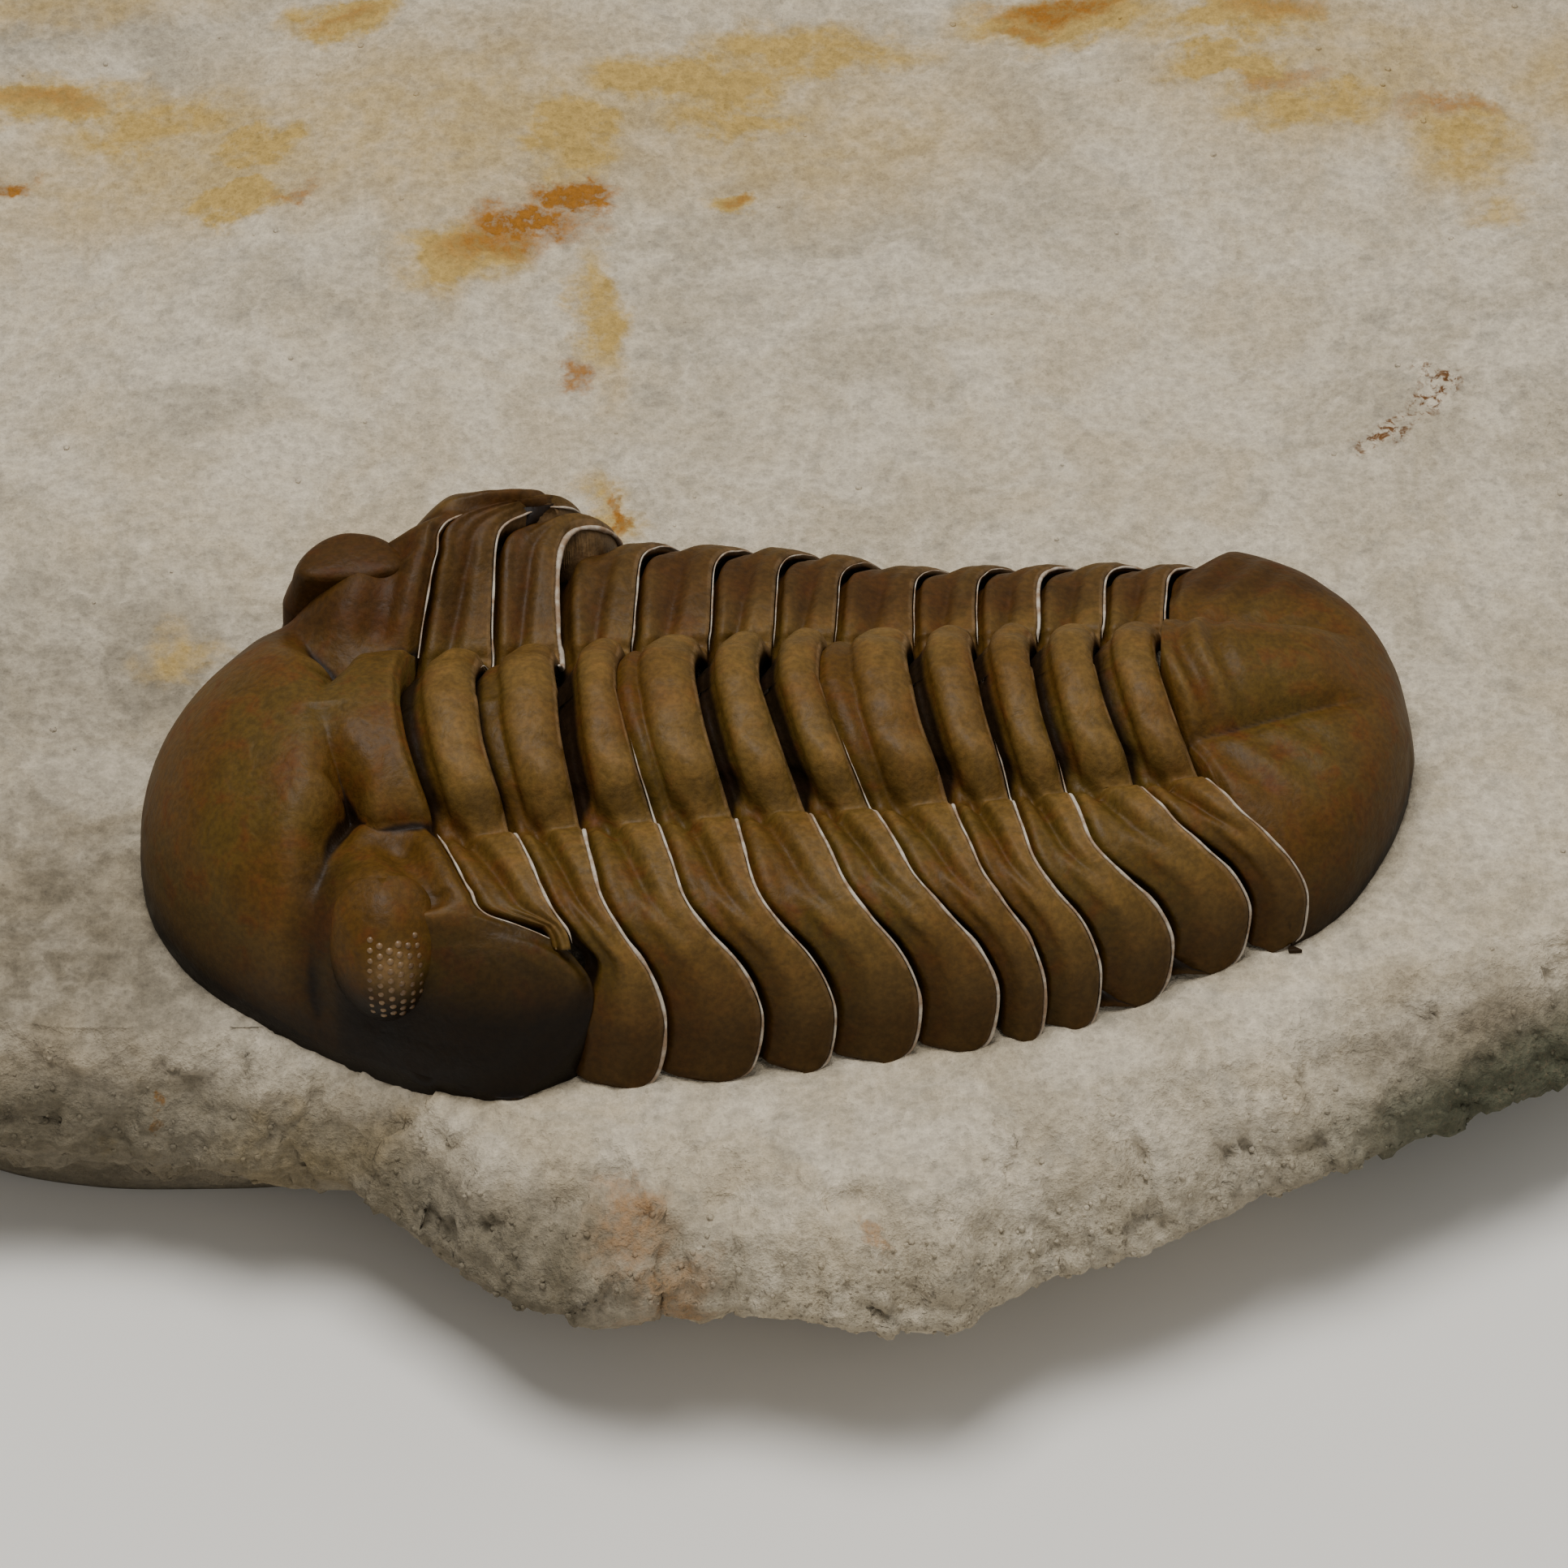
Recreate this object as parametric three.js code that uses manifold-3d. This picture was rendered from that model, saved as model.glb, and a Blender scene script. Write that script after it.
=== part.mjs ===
// Kainops trilobite lying on its piece of limestone, in millimetres, +Z up.
// X runs from the head (-X) to the tail (+X), and the near side is -Y.
// The animal is written in coordinates of its own: x = 0 at the rear edge of the
// occipital ring, y = 0 on the midline, z = 0 at the level of the axial furrows.
// BODY_AT then moves it all so that the stone rests on z = 0, centred in plan.
import * as THREE from 'three';
import Module from 'manifold-3d';

// Driving dimensions
const BODY_AT = [-10.031, -10.968, 11.0];
const BASE_Z = -BODY_AT[2];           // flat underside of the stone
const GAP = 0.22;                     // open joint between neighbouring pieces
const WIDE_GAP = 0.42;                // the thorax is pulled apart between segments 2 and 3
const BED = 0.28;                     // clearance between the skeleton and the stone under it
const AROUND = 50;                    // divisions around the mound and the stone

// rear edge of the occipital ring and of each of the 11 rings, on the midline
const RING_REAR = [0, 1.89, 3.92, 5.37, 7.47, 9.03, 10.6, 12.8, 14.56, 16.06, 17.54, 19.1];
const TAIL_END = 25.42;

// The rings are not evenly spaced. Shift of each rear edge at four places across it:
// far pleura, midline, near furrow, near flank
const SHIFT = [
  [0.00, 0.00, 0.00, 0.00], [0.00, 0.00, 0.00, 0.35], [-0.45, 0.00, -0.30, -0.45],
  [0.10, 0.00, 0.10, 0.05], [-0.08, -0.12, -0.08, -0.25], [0.00, -0.08, 0.20, 0.42],
  [0.00, -0.16, 0.20, 0.65], [-0.32, -0.10, 0.00, 0.00], [-0.45, -0.22, -0.22, -0.42],
  [-0.42, -0.28, -0.33, -0.35], [-0.20, -0.20, -0.05, 0.40], [-0.22, -0.18, 0.00, 0.50],
];
// the far side of the head and of the first segments stands higher, in mm at the tip
const FAR_RAISE = [3.1, 2.35, 1.6, 0.4, 0.1, 0, 0, 0, 0, 0, 0, 0];
const FAR_START = [0, 3.05, 2.3, 0.5, 0.35, 0.1, 0, 0, 0, 0, 0, 0];   // and at its front edge
const FAR_SWEEP = 0.72;               // and ring 1 is swept further back at its far tip

// Half of the arch of one segment, from the midline to the tip: y, z, how far its
// rear edge is swept back there, and the y of the underside below it
const ARCH = [
  { y: 0.00, z: 1.65, back: 0.00, under: 0.00 },
  { y: 1.15, z: 1.42, back: 0.09, under: 1.10 },
  { y: 2.10, z: 0.80, back: 0.30, under: 2.10 },
  { y: 2.72, z: -0.10, back: 0.52, under: 2.85 },
  { y: 3.15, z: 0.10, back: 0.60, under: 3.30 },
  { y: 4.30, z: 0.20, back: 0.75, under: 4.20 },
  { y: 5.60, z: 0.02, back: 0.98, under: 5.20 },
  { y: 6.45, z: -0.46, back: 1.50, under: 5.85 },
  { y: 7.00, z: -1.25, back: 2.15, under: 6.25 },
  { y: 7.50, z: -2.30, back: 2.60, under: 6.65 },
  { y: 7.85, z: -3.15, back: 2.68, under: 6.95 },
  { y: 8.02, z: -3.75, back: 2.20, under: 7.20 },
];
const SHORTEST = 0.9;                 // no section of a segment is shorter than this
const FURROW = 3;                     // the station at the axial furrow
const TIP = ARCH.length - 1;

// How the arch changes along the body: x, half width of the axis, its height,
// half width in all, depth of the tips below the furrow, level of the furrow
const ALONG = [
  [-2, 2.80, 1.70, 8.15, 3.92, 0.00],
  [4, 2.78, 1.70, 8.25, 3.92, 0.00],
  [8, 2.76, 1.66, 8.10, 3.86, -0.04],
  [12, 2.72, 1.62, 7.90, 3.58, -0.20],
  [16, 2.60, 1.54, 7.55, 3.27, -0.34],
  [19, 2.38, 1.44, 7.15, 3.19, -0.34],
  [26, 1.90, 1.20, 6.40, 3.00, -0.40],
];

// Section of a segment from front to rear: share of its length, height over the arch.
// The first point is the flange under the segment in front, the last the lip's underside.
const AXIS_SECTION = [
  [0, -0.68], [0.14, -0.50], [0.27, -0.64], [0.42, -0.08], [0.66, 0.06], [0.91, 0], [1, -0.20],
  [1, -0.38],
];
const PLEURA_SECTION = [
  [0, -0.50], [0.10, -0.16], [0.34, -0.02], [0.47, -0.24], [0.62, 0.05], [0.90, 0.08], [1, -0.10],
  [1, -0.24],
];
const PLEURAL_FURROW = 3;             // the point of the section in the furrow of the pleura
const FLANGE = [0.20, 0.10];          // how far the flange reaches forward: axis, pleura
const LIP = [0.46, 0.36];             // depth of the recess under the lip: axis, pleura

// Plan of the cephalon: y and x of its front margin, then of its rear margin
const HEAD_FRONT = [
  [0, -6.7], [1, -6.62], [2, -6.36], [3, -5.88], [4, -5.16], [4.6, -4.58], [5.41, -3.62], [6.45, -2.05],
  [7.2, -0.76], [7.75, 0.41], [8.1, 1.6], [8.25, 2.5], [8.3, 3.0],
];
const HEAD_REAR = [
  [0, 0], [1.15, 0.09], [2.1, 0.30], [2.75, 0.52], [3.15, 0.62], [4.3, 0.95], [5.2, 1.25], [5.8, 1.62],
  [6.1, 2.45], [6.45, 3.50], [6.8, 4.00], [7.2, 4.28], [7.6, 4.35], [7.95, 4.15], [8.15, 3.8], [8.3, 3.3],
];
const GENAL_FAR = 0.45;               // the far genal angle reaches further back
const GENAL_OUT = 0.40;               // and leaves more of segments 1 and 2 in sight
// height of the cheek by share of the way out to the margin
const CHEEK = [
  [0, 0.10], [0.40, 0.10], [0.60, 0.06], [0.70, -0.08], [0.78, -0.42], [0.85, -1.05], [0.91, -1.95],
  [0.955, -2.80], [0.985, -3.40], [1, -3.90],
];
// the glabella rises to GLABELLA.top round x = GLABELLA.x, and ends at the rear in a furrow:
// distance from the midline, x and depth
const GLABELLA = { x: -1.5, foot: -3.95, top: 1.68, rounded: 0.95 };
const GLABELLA_REAR = [
  [0, -1.95, 0.22], [0.9, -1.88, 0.24], [1.6, -1.66, 0.40], [2.15, -1.50, 0.60], [2.7, -1.72, 0.54],
  [3.2, -2.02, 0.52], [3.8, -2.24, 0.60], [4.5, -2.46, 0.70], [5.2, -2.66, 0.62], [5.8, -2.66, 0.45],
  [6.4, -2.30, 0.1], [8.3, -1.6, 0],
];
const EYE = { x: -0.85, y: 5.72, rx: 1.32, ry: 0.84, bend: 0.30, top: 0.68, foot: -2.2, farUp: 0.72 };
// rings of the eye: height, scale, lean outwards
const EYE_RINGS = [
  [-2.2, 1.08, 0.48], [-1.05, 1.10, 0.42], [-0.85, 1.06, 0.36], [0, 1.00, 0.08], [0.42, 0.86, -0.18],
  [0.62, 0.50, -0.28],
];

// Plan of the pygidium: distance from its midline and x of its rear margin, and the
// offset of its front margin. Its midline runs out towards the far side.
const TAIL_START = RING_REAR[11] + GAP;
const TAIL_REAR = [
  [0, TAIL_END], [1.15, 25.3], [2.19, 25.0], [3.35, 24.5], [4.5, 23.86], [5.47, 23.2], [6.0, 22.75],
  [6.45, 22.3], [6.95, 21.6],
];
const TAIL_MID = [0.30, 0.135];       // y of the midline at x = 19, and its slope
const TAIL_FRONT = [
  [0, 0], [1.0, 0.09], [1.8, 0.30], [2.3, 0.52], [2.8, 0.60], [3.8, 0.80],
  [4.9, 1.20], [5.4, 1.71], [5.9, 2.31], [6.4, 2.81], [6.8, 3.06],
];
const TAIL_FAR = 1.04;                // the far flank of the tail is fuller

// Plan of the broken slab, from the head end round by the near side
const STONE = [
  [-18.4, 5.5], [-17.6, -0.2], [-15.6, -4.0], [-12.6, -6.0], [-9.0, -7.1], [-6.6, -7.7], [-4.0, -8.7],
  [-1.6, -10.4], [0.4, -12.6], [3.5, -14.1], [6.7, -14.7], [9.7, -15.5], [12.3, -15.4], [14.9, -14.3],
  [18.1, -13.0], [21.3, -11.6], [24.4, -10.2], [28.5, -8.1], [32.6, -6.0], [36.0, -2.6], [37.8, 3.0],
  [38.4, 10.0], [38.8, 17.5], [38.2, 25.0], [35.5, 31.5], [28.5, 35.4], [19.5, 36.6], [10.0, 37.0],
  [1.0, 36.4], [-7.5, 35.1], [-14.0, 31.4], [-17.6, 24.0], [-18.8, 14.5],
];
const SHOULDER = 3.2;                 // width of the strip that falls to the broken edge
// the broken edge: distance in from the outline, height against the top, roughness
const EDGE_STEPS = [[SHOULDER, -0.55, 0], [1.3, -1.55, 1], [0, -2.6, 1], [2.4, -4.7, 1], [4.9, null, 0]];

// The mound of stone inside the skeleton
const MOUND = {
  headX: 2.0, headA: 7.1, headW: 7.9, neckW: 7.15, tailX: 18.6, tailA: 5.6, tailW: 6.1, power: 3.4,
};
const MOUND_RINGS = [0, 0.5, 0.74, 0.88, 0.96, 1.0];

// Functions of numbers
const clamp = (v, a, b) => Math.min(b, Math.max(a, v));
const mix = (a, b, f) => a + (b - a) * f;
const hill = (x, at, width) => Math.exp(-(((x - at) / width) ** 2));

function smooth(a, b, x) {
  const f = clamp((x - a) / (b - a), 0, 1);
  return f * f * (3 - 2 * f);
}
// the higher of two surfaces, with a rounded corner of size k where they meet
function softMax(a, b, k) {
  const h = clamp(0.5 + 0.5 * (a - b) / k, 0, 1);
  return mix(b, a, h) + k * h * (1 - h);
}
// straight-line reading of a table by its first column
function table(rows, x) {
  let i = 0;
  while (i < rows.length - 2 && x > rows[i + 1][0]) i++;
  const f = clamp((x - rows[i][0]) / (rows[i + 1][0] - rows[i][0]), 0, 1);
  return rows[i].map((v, k) => mix(v, rows[i + 1][k], f));
}

// Closed meshes
class Shell {
  constructor() {
    this.points = [];
    this.faces = [];
  }
  add(x, y, z) {
    this.points.push(new THREE.Vector3(x, y, z));
    return this.points.length - 1;
  }
  tri(a, b, c) {
    this.faces.push([a, b, c]);
  }
  quad(a, b, c, d) {                  // split along the shorter diagonal
    const P = this.points;
    if (P[a].distanceTo(P[c]) <= P[b].distanceTo(P[d])) {
      this.tri(a, b, c);
      this.tri(a, c, d);
    } else {
      this.tri(a, b, d);
      this.tri(b, c, d);
    }
  }
  // quads between two closed rings of the same count
  band(lower, upper) {
    const n = lower.length;
    for (let k = 0; k < n; k++) this.quad(lower[k], upper[k], upper[(k + 1) % n], lower[(k + 1) % n]);
  }
  fan(centre, ring) {
    const n = ring.length;
    for (let k = 0; k < n; k++) this.tri(centre, ring[k], ring[(k + 1) % n]);
  }
  // points in the same place become one, and faces without area go
  solid() {
    const seen = new Map();
    const flat = [];
    const to = this.points.map((p) => {
      const key = p.toArray().map((v) => Math.round(v * 2e4)).join(' ');
      if (!seen.has(key)) {
        seen.set(key, flat.length / 3);
        flat.push(p.x, p.y, p.z);
      }
      return seen.get(key);
    });
    const welded = this.faces.map((f) => f.map((i) => to[i]));
    const faces = welded.filter(([a, b, c]) => a !== b && b !== c && a !== c);
    const mesh = new Mesh({
      numProp: 3, vertProperties: new Float32Array(flat), triVerts: new Uint32Array(faces.flat()),
    });
    mesh.merge();
    return new Manifold(mesh);
  }
}

const wasm = await Module();
wasm.setup();
const { Manifold, Mesh } = wasm;

function toGeometry(solid) {
  const m = solid.getMesh();
  const g = new THREE.BufferGeometry();
  g.setAttribute('position', new THREE.BufferAttribute(new Float32Array(m.vertProperties), 3));
  g.setIndex(new THREE.BufferAttribute(new Uint32Array(m.triVerts), 1));
  return g;
}

// Stone under the animal
const groundZ = (x) => mix(-4.28, -3.83, smooth(6, 24, x));
const moundTop = (x) => mix(-1.0, -1.25, smooth(14, 20, x));

function moundWidth(x) {
  const along = clamp((x - 4) / (MOUND.tailX - 4), 0, 1);
  return mix(MOUND.neckW, MOUND.tailW, along) + (MOUND.headW - MOUND.neckW) * (1 - smooth(2, 5, x));
}
// height of the mound, or of the same mound grown by a clearance
function moundZ(x, y, grow) {
  const w = Math.abs(y);
  let rho = w / (moundWidth(x) + grow);
  if (x < MOUND.headX) rho = Math.hypot((x - MOUND.headX) / (MOUND.headA + grow), w / (MOUND.headW + grow));
  if (x > MOUND.tailX) rho = Math.hypot((x - MOUND.tailX) / (MOUND.tailA + grow), w / (MOUND.tailW + grow));
  return groundZ(x) + grow * 0.7 + (moundTop(x) - groundZ(x)) * (1 - Math.min(rho, 1) ** MOUND.power);
}
// a point of the mound's plan: rho is 0 on its ridge and 1 at its foot, step runs
// from the far side round the head, along the near side, round the tail and back
function moundPlan(rho, step, grow) {
  const head = AROUND * 0.32;
  const side = AROUND * 0.24;
  const tail = AROUND * 0.20;
  if (step < head) {
    const t = Math.PI / 2 + Math.PI * step / head;
    return [MOUND.headX + rho * (MOUND.headA + grow) * Math.cos(t), rho * (MOUND.headW + grow) * Math.sin(t)];
  }
  if (step < head + side) {
    const x = mix(MOUND.headX, MOUND.tailX, (step - head) / side);
    return [x, -rho * (moundWidth(x) + grow)];
  }
  if (step < head + side + tail) {
    const t = -Math.PI / 2 + Math.PI * (step - head - side) / tail;
    return [MOUND.tailX + rho * (MOUND.tailA + grow) * Math.cos(t), rho * (MOUND.tailW + grow) * Math.sin(t)];
  }
  const x = mix(MOUND.tailX, MOUND.headX, (step - head - side - tail) / side);
  return [x, rho * (moundWidth(x) + grow)];
}
// adds one ring around the animal, each point given by its step
function ringAround(shell, place) {
  return Array.from({ length: AROUND }, (_, k) => shell.add(...place(k)));
}
function moundRings(shell, grow) {
  return MOUND_RINGS.map((rho) => ringAround(shell, (k) => {
    const [x, y] = moundPlan(rho, k, grow);
    return [x, y, moundZ(x, y, grow)];
  }));
}
function closeRings(shell, rings, centre) {
  for (let r = 0; r + 1 < rings.length; r++) shell.band(rings[r], rings[r + 1]);
  shell.fan(shell.add(...centre), [...rings[rings.length - 1]].reverse());
  return shell.solid();
}
// the mound grown by the clearance, used only for cutting
function moundCutter() {
  const shell = new Shell();
  const rings = moundRings(shell, BED);
  rings.push(ringAround(shell, (k) => [...moundPlan(1, k, BED), -7]));
  return closeRings(shell, rings, [10, 0, -7]);
}

// The limestone
function stoneTop(x, y) {
  const w = Math.abs(y);
  return groundZ(x) + 0.03 * Math.max(0, y - 9)
    + 0.35 * Math.sin(0.21 * x + 0.7) * smooth(9, 16, w)
    + 0.25 * Math.sin(0.33 * x - 0.27 * y + 1.3) * smooth(9, 15, w)
    + 0.30 * smooth(-9, -15, x) - 0.4 * smooth(26, 35, x);
}
// the point of the slab's outline that lies outward of each point of the mound's foot
function stoneEdge() {
  const corners = STONE.map(([x, y]) => new THREE.Vector3(x, y, 0));
  const dense = new THREE.CatmullRomCurve3(corners, true, 'centripetal').getSpacedPoints(900);
  return Array.from({ length: AROUND }, (_, k) => {
    const [mx, my] = moundPlan(1, k, 0);
    const way = new THREE.Vector2(mx - 9, (my - 2) * 1.35).normalize();
    const match = (p) => new THREE.Vector2(p.x - 9, p.y - 4).normalize().dot(way);
    return dense.reduce((best, p) => (match(p) > match(best) ? p : best));
  });
}
function stone() {
  const shell = new Shell();
  const edge = stoneEdge();
  const rings = moundRings(shell, 0);
  // the point a distance in from the outline, towards the foot of the mound
  const inward = (k, inset) => {
    const [mx, my] = moundPlan(1, k, 0);
    const share = 1 - inset / Math.hypot(edge[k].x - mx, edge[k].y - my);
    return [mix(mx, edge[k].x, share), mix(my, edge[k].y, share)];
  };
  for (const share of [0.18, 0.42, 0.70]) {
    rings.push(ringAround(shell, (k) => {
      const foot = moundPlan(1, k, 0);
      const rim = inward(k, SHOULDER);
      const x = mix(foot[0], rim[0], share);
      const y = mix(foot[1], rim[1], share);
      return [x, y, mix(groundZ(x), stoneTop(x, y), smooth(0, 0.5, share))];
    }));
  }
  for (const [inset, drop, rough] of EDGE_STEPS) {
    rings.push(ringAround(shell, (k) => {
      const wobble = rough * (0.3 * Math.sin(2.4 * k + drop) + 0.22 * Math.sin(5.1 * k + 2 * drop));
      const [x, y] = inward(k, inset + wobble);
      return [x, y, drop === null ? BASE_Z : stoneTop(x, y) + drop + wobble * 0.4];
    }));
  }
  return closeRings(shell, rings, [10, 6, BASE_Z]);
}

// Thoracic segments
const lift = (raise, y) => raise * smooth(2.9, 8.0, y);

// the arch at place x: station 0 is the midline, TIP the end of the pleura
function archPoint(x, station, raise) {
  const [, axis, height, half, drop, level] = table(ALONG, x);
  const s = ARCH[station];
  const furrow = ARCH[FURROW];
  const tip = ARCH[TIP];
  if (station <= FURROW) {
    const k = axis / furrow.y;
    return { y: s.y * k, z: level + s.z * height / ARCH[0].z, back: s.back, under: s.under * k };
  }
  const y = mix(axis, half, (s.y - furrow.y) / (tip.y - furrow.y));
  const under = mix(axis * 1.05, half - 0.85, (s.under - furrow.under) / (tip.under - furrow.under));
  return { y, z: level - s.z * drop / tip.z + lift(raise, y), back: s.back, under };
}
function archNormal(x, station, side, raise) {
  if (station === 0) return [0, 1];
  const a = archPoint(x, station - 1, raise);
  const b = archPoint(x, Math.min(TIP, station + 1), raise);
  const length = Math.hypot(b.y - a.y, b.z - a.z);
  return [-side * (b.z - a.z) / length, (b.y - a.y) / length];
}
function ringShift(ring, station, side) {
  const [far, mid, furrow, flank] = SHIFT[ring];
  const sweep = ring === 1 ? FAR_SWEEP * smooth(5.7, 7.0, ARCH[station].y) : 0;
  if (side > 0) return mix(mid, far, clamp(station / 5, 0, 1)) + sweep;
  if (station <= FURROW) return mix(mid, furrow, station / FURROW);
  return mix(furrow, flank, clamp((station - FURROW) / 4, 0, 1));
}
// one closed section of segment i: its top from front to rear, then two points below
function segmentSection(shell, i, station, side, last) {
  const raised = (f) => (side > 0 ? mix(FAR_START[i], FAR_RAISE[i], clamp(f, 0, 1)) : 0);
  const pleural = station < FURROW ? 0 : (station === FURROW ? 0.5 : 1);
  const gap = i === 3 ? mix(GAP, WIDE_GAP, smooth(-3, 4, side * station)) : GAP;
  const round = last === TIP ? [0, 0.06, 0.55][Math.max(0, station - TIP + 2)] : 0;
  const joint = archPoint(0.6, station, raised(0));
  const previous = RING_REAR[i - 1] + ringShift(i - 1, station, side);
  const ahead = i === 1 ? headRear(side * joint.y) - joint.back : previous;
  const rear = RING_REAR[i] + ringShift(i, station, side) - round * 0.4;
  const front = Math.min(ahead + gap + round * 0.8, rear - SHORTEST);
  const length = rear - front;
  const tucked = pleural === 1 ? 1 - smooth(TIP - 2, TIP, station) : 1;
  const toe = i === 1 ? 0 : -(gap + mix(FLANGE[0], FLANGE[1], pleural)) * tucked / length;
  const lip = 1 - mix(LIP[0], LIP[1], pleural) * mix(0.2, 1, tucked) / length;
  const slant = pleural ? (clamp((station - FURROW) / 6, 0, 1) - 0.35) * 0.16 : 0;
  const depth = 1 - smooth(TIP - 4, TIP - 1, station);
  const [ny, nz] = archNormal((front + rear) / 2, station, side, raised(0.5));
  const ring = AXIS_SECTION.map(([axisShare, axisHeight], k) => {
    const [share, height] = PLEURA_SECTION[k];
    let f = mix(axisShare, share, pleural);
    if (k > 0 && k < 5) f += slant * (k === 4 ? 0.5 : 1);
    if (k === 0) f = toe;
    if (k === AXIS_SECTION.length - 1) f = lip;
    const n = mix(axisHeight, height * (k === PLEURAL_FURROW ? depth : 1), pleural);
    const x = front + f * length;
    const c = archPoint(x, station, raised(f));
    return shell.add(x + c.back, side * c.y + ny * n, c.z + nz * n);
  });
  for (const f of [lip, toe]) {
    const x = front + f * length;
    const c = archPoint(x, station, raised(f));
    const z = Math.max(moundZ(x + c.back, c.under, BED), groundZ(x + c.back) + 0.2);
    ring.push(shell.add(x + c.back, side * c.under, z));
  }
  return ring;
}
function closeSection(shell, ring, flip) {
  const top = ring.slice(0, -2);
  const [rearFoot, frontFoot] = ring.slice(-2);
  const half = Math.floor(top.length / 2);
  const face = (a, b, c) => (flip ? shell.tri(a, c, b) : shell.tri(a, b, c));
  for (let k = 0; k < half; k++) face(frontFoot, top[k], top[k + 1]);
  for (let k = half; k + 1 < top.length; k++) face(rearFoot, top[k], top[k + 1]);
  face(frontFoot, top[half], rearFoot);
}
function segment(i) {
  const shell = new Shell();
  const last = i === 1 ? TIP - 3 : TIP;         // the tips of segment 1 lie inside the genal angles
  const sections = [];
  for (let s = -last; s <= last; s++) {
    sections.push(segmentSection(shell, i, Math.abs(s), s < 0 ? -1 : 1, last));
  }
  for (let s = 0; s + 1 < sections.length; s++) shell.band(sections[s + 1], sections[s]);
  closeSection(shell, sections[0], true);
  closeSection(shell, sections[sections.length - 1], false);
  return shell.solid();
}

// Head and tail are fields of heights: columns run from the front to the rear margin
function heightSolid(ys, shares, frontX, rearX, height) {
  const shell = new Shell();
  const rows = shares.length - 1;
  const top = [];
  const under = [];
  for (const y of ys) {
    const [front, rear] = [frontX(y), rearX(y)];
    top.push(shares.map((f) => shell.add(mix(front, rear, f), y, height(mix(front, rear, f), y))));
    under.push([front, rear].map((x) => shell.add(x, y, groundZ(x) + 0.15)));
  }
  for (let c = 0; c + 1 < ys.length; c++) {
    for (let k = 0; k < rows; k++) shell.quad(top[c][k], top[c][k + 1], top[c + 1][k + 1], top[c + 1][k]);
    shell.quad(under[c][0], top[c][0], top[c + 1][0], under[c + 1][0]);
    shell.quad(top[c][rows], under[c][1], under[c + 1][1], top[c + 1][rows]);
    shell.quad(under[c][1], under[c][0], under[c + 1][0], under[c + 1][1]);
  }
  for (const [c, flip] of [[0, true], [ys.length - 1, false]]) {
    closeSection(shell, [...top[c], under[c][1], under[c][0]], flip);
  }
  return shell.solid();
}

// Cephalon
const headFront = (y) => table(HEAD_FRONT, Math.abs(y))[1];
const genalBack = (y) => GENAL_FAR * smooth(5.6, 6.8, y);
const genalOut = (y) => GENAL_OUT * smooth(5.2, 6.4, y) * (1 - smooth(7.2, 8.3, y));
const headRear = (y) => table(HEAD_REAR, Math.abs(y) - genalOut(y))[1] + genalBack(y);
const HEAD_HALF = HEAD_FRONT.map(([y, x]) => [x, y]);

function cheek(x, w) {
  return table(CHEEK, Math.min(1, w / Math.max(0.1, table(HEAD_HALF, x)[1])))[1];
}
// the head's margin seen from the middle of the glabella: angle and distance
const MARGIN = Array.from({ length: 40 }, (_, k) => {
  const y = 7.4 * k / 39;
  const ahead = GLABELLA.x - headFront(y);
  return [Math.atan2(y, ahead), Math.hypot(y, ahead)];
});
function glabella(x, w) {
  const ahead = GLABELLA.x - x;
  const rho = Math.hypot(w, ahead) / table(MARGIN, Math.atan2(w, ahead))[1];
  return GLABELLA.foot + (GLABELLA.top - GLABELLA.foot) * Math.max(0, 1 - rho ** 2.1) ** 0.42;
}
function headHeight(x, y) {
  const w = Math.abs(y);
  const behind = headRear(y) - x;     // distance to the rear edge
  const [, rearX, depth] = table(GLABELLA_REAR, w);
  const ahead = rearX - x;            // distance in front of the furrow behind the glabella
  // cheeks, with the occipital ring between them and a swelling on the inner side of each eye
  const ringHalf = mix(1.75, 2.9, smooth(-1.9, -0.7, x));
  const ring = w < ringHalf ? GLABELLA.top * Math.sqrt(1 - (w / ringHalf) ** 2) : -9;
  let z = softMax(cheek(x, w), ring, 0.30);
  z += 0.62 * hill(x, EYE.x, 1.25) * smooth(3.5, 5.5, w) * (1 - smooth(5.95, 6.45, w));
  // raised posterior border, the furrow in front of it and its rounded edge
  const border = 0.20 * (1 - smooth(0.40, 0.80, behind)) - 0.28 * hill(behind, 0.98, 0.26);
  z += border * smooth(2.9, 3.5, w) * (1 - smooth(7.0, 8.0, w));
  // the glabella over them, rounded off towards its furrow
  const inside = clamp(ahead / GLABELLA.rounded, 0, 1);
  z = mix(z, glabella(x, w), Math.sqrt(1 - (1 - inside) ** 2));
  z -= depth * hill(ahead, -0.10, 0.27);
  z -= 0.20 * (1 - smooth(0, 0.24, behind)) * (1 - smooth(5.8, 6.6, w));
  z -= 0.60 * (1 - smooth(0, 0.55, behind)) ** 2 * smooth(5.9, 6.9, w);
  if (y > 0) z += lift(mix(0.45, FAR_RAISE[0], smooth(-0.9, 1.9, x)), y);
  return Math.max(z, groundZ(x) + 0.42);
}
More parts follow.
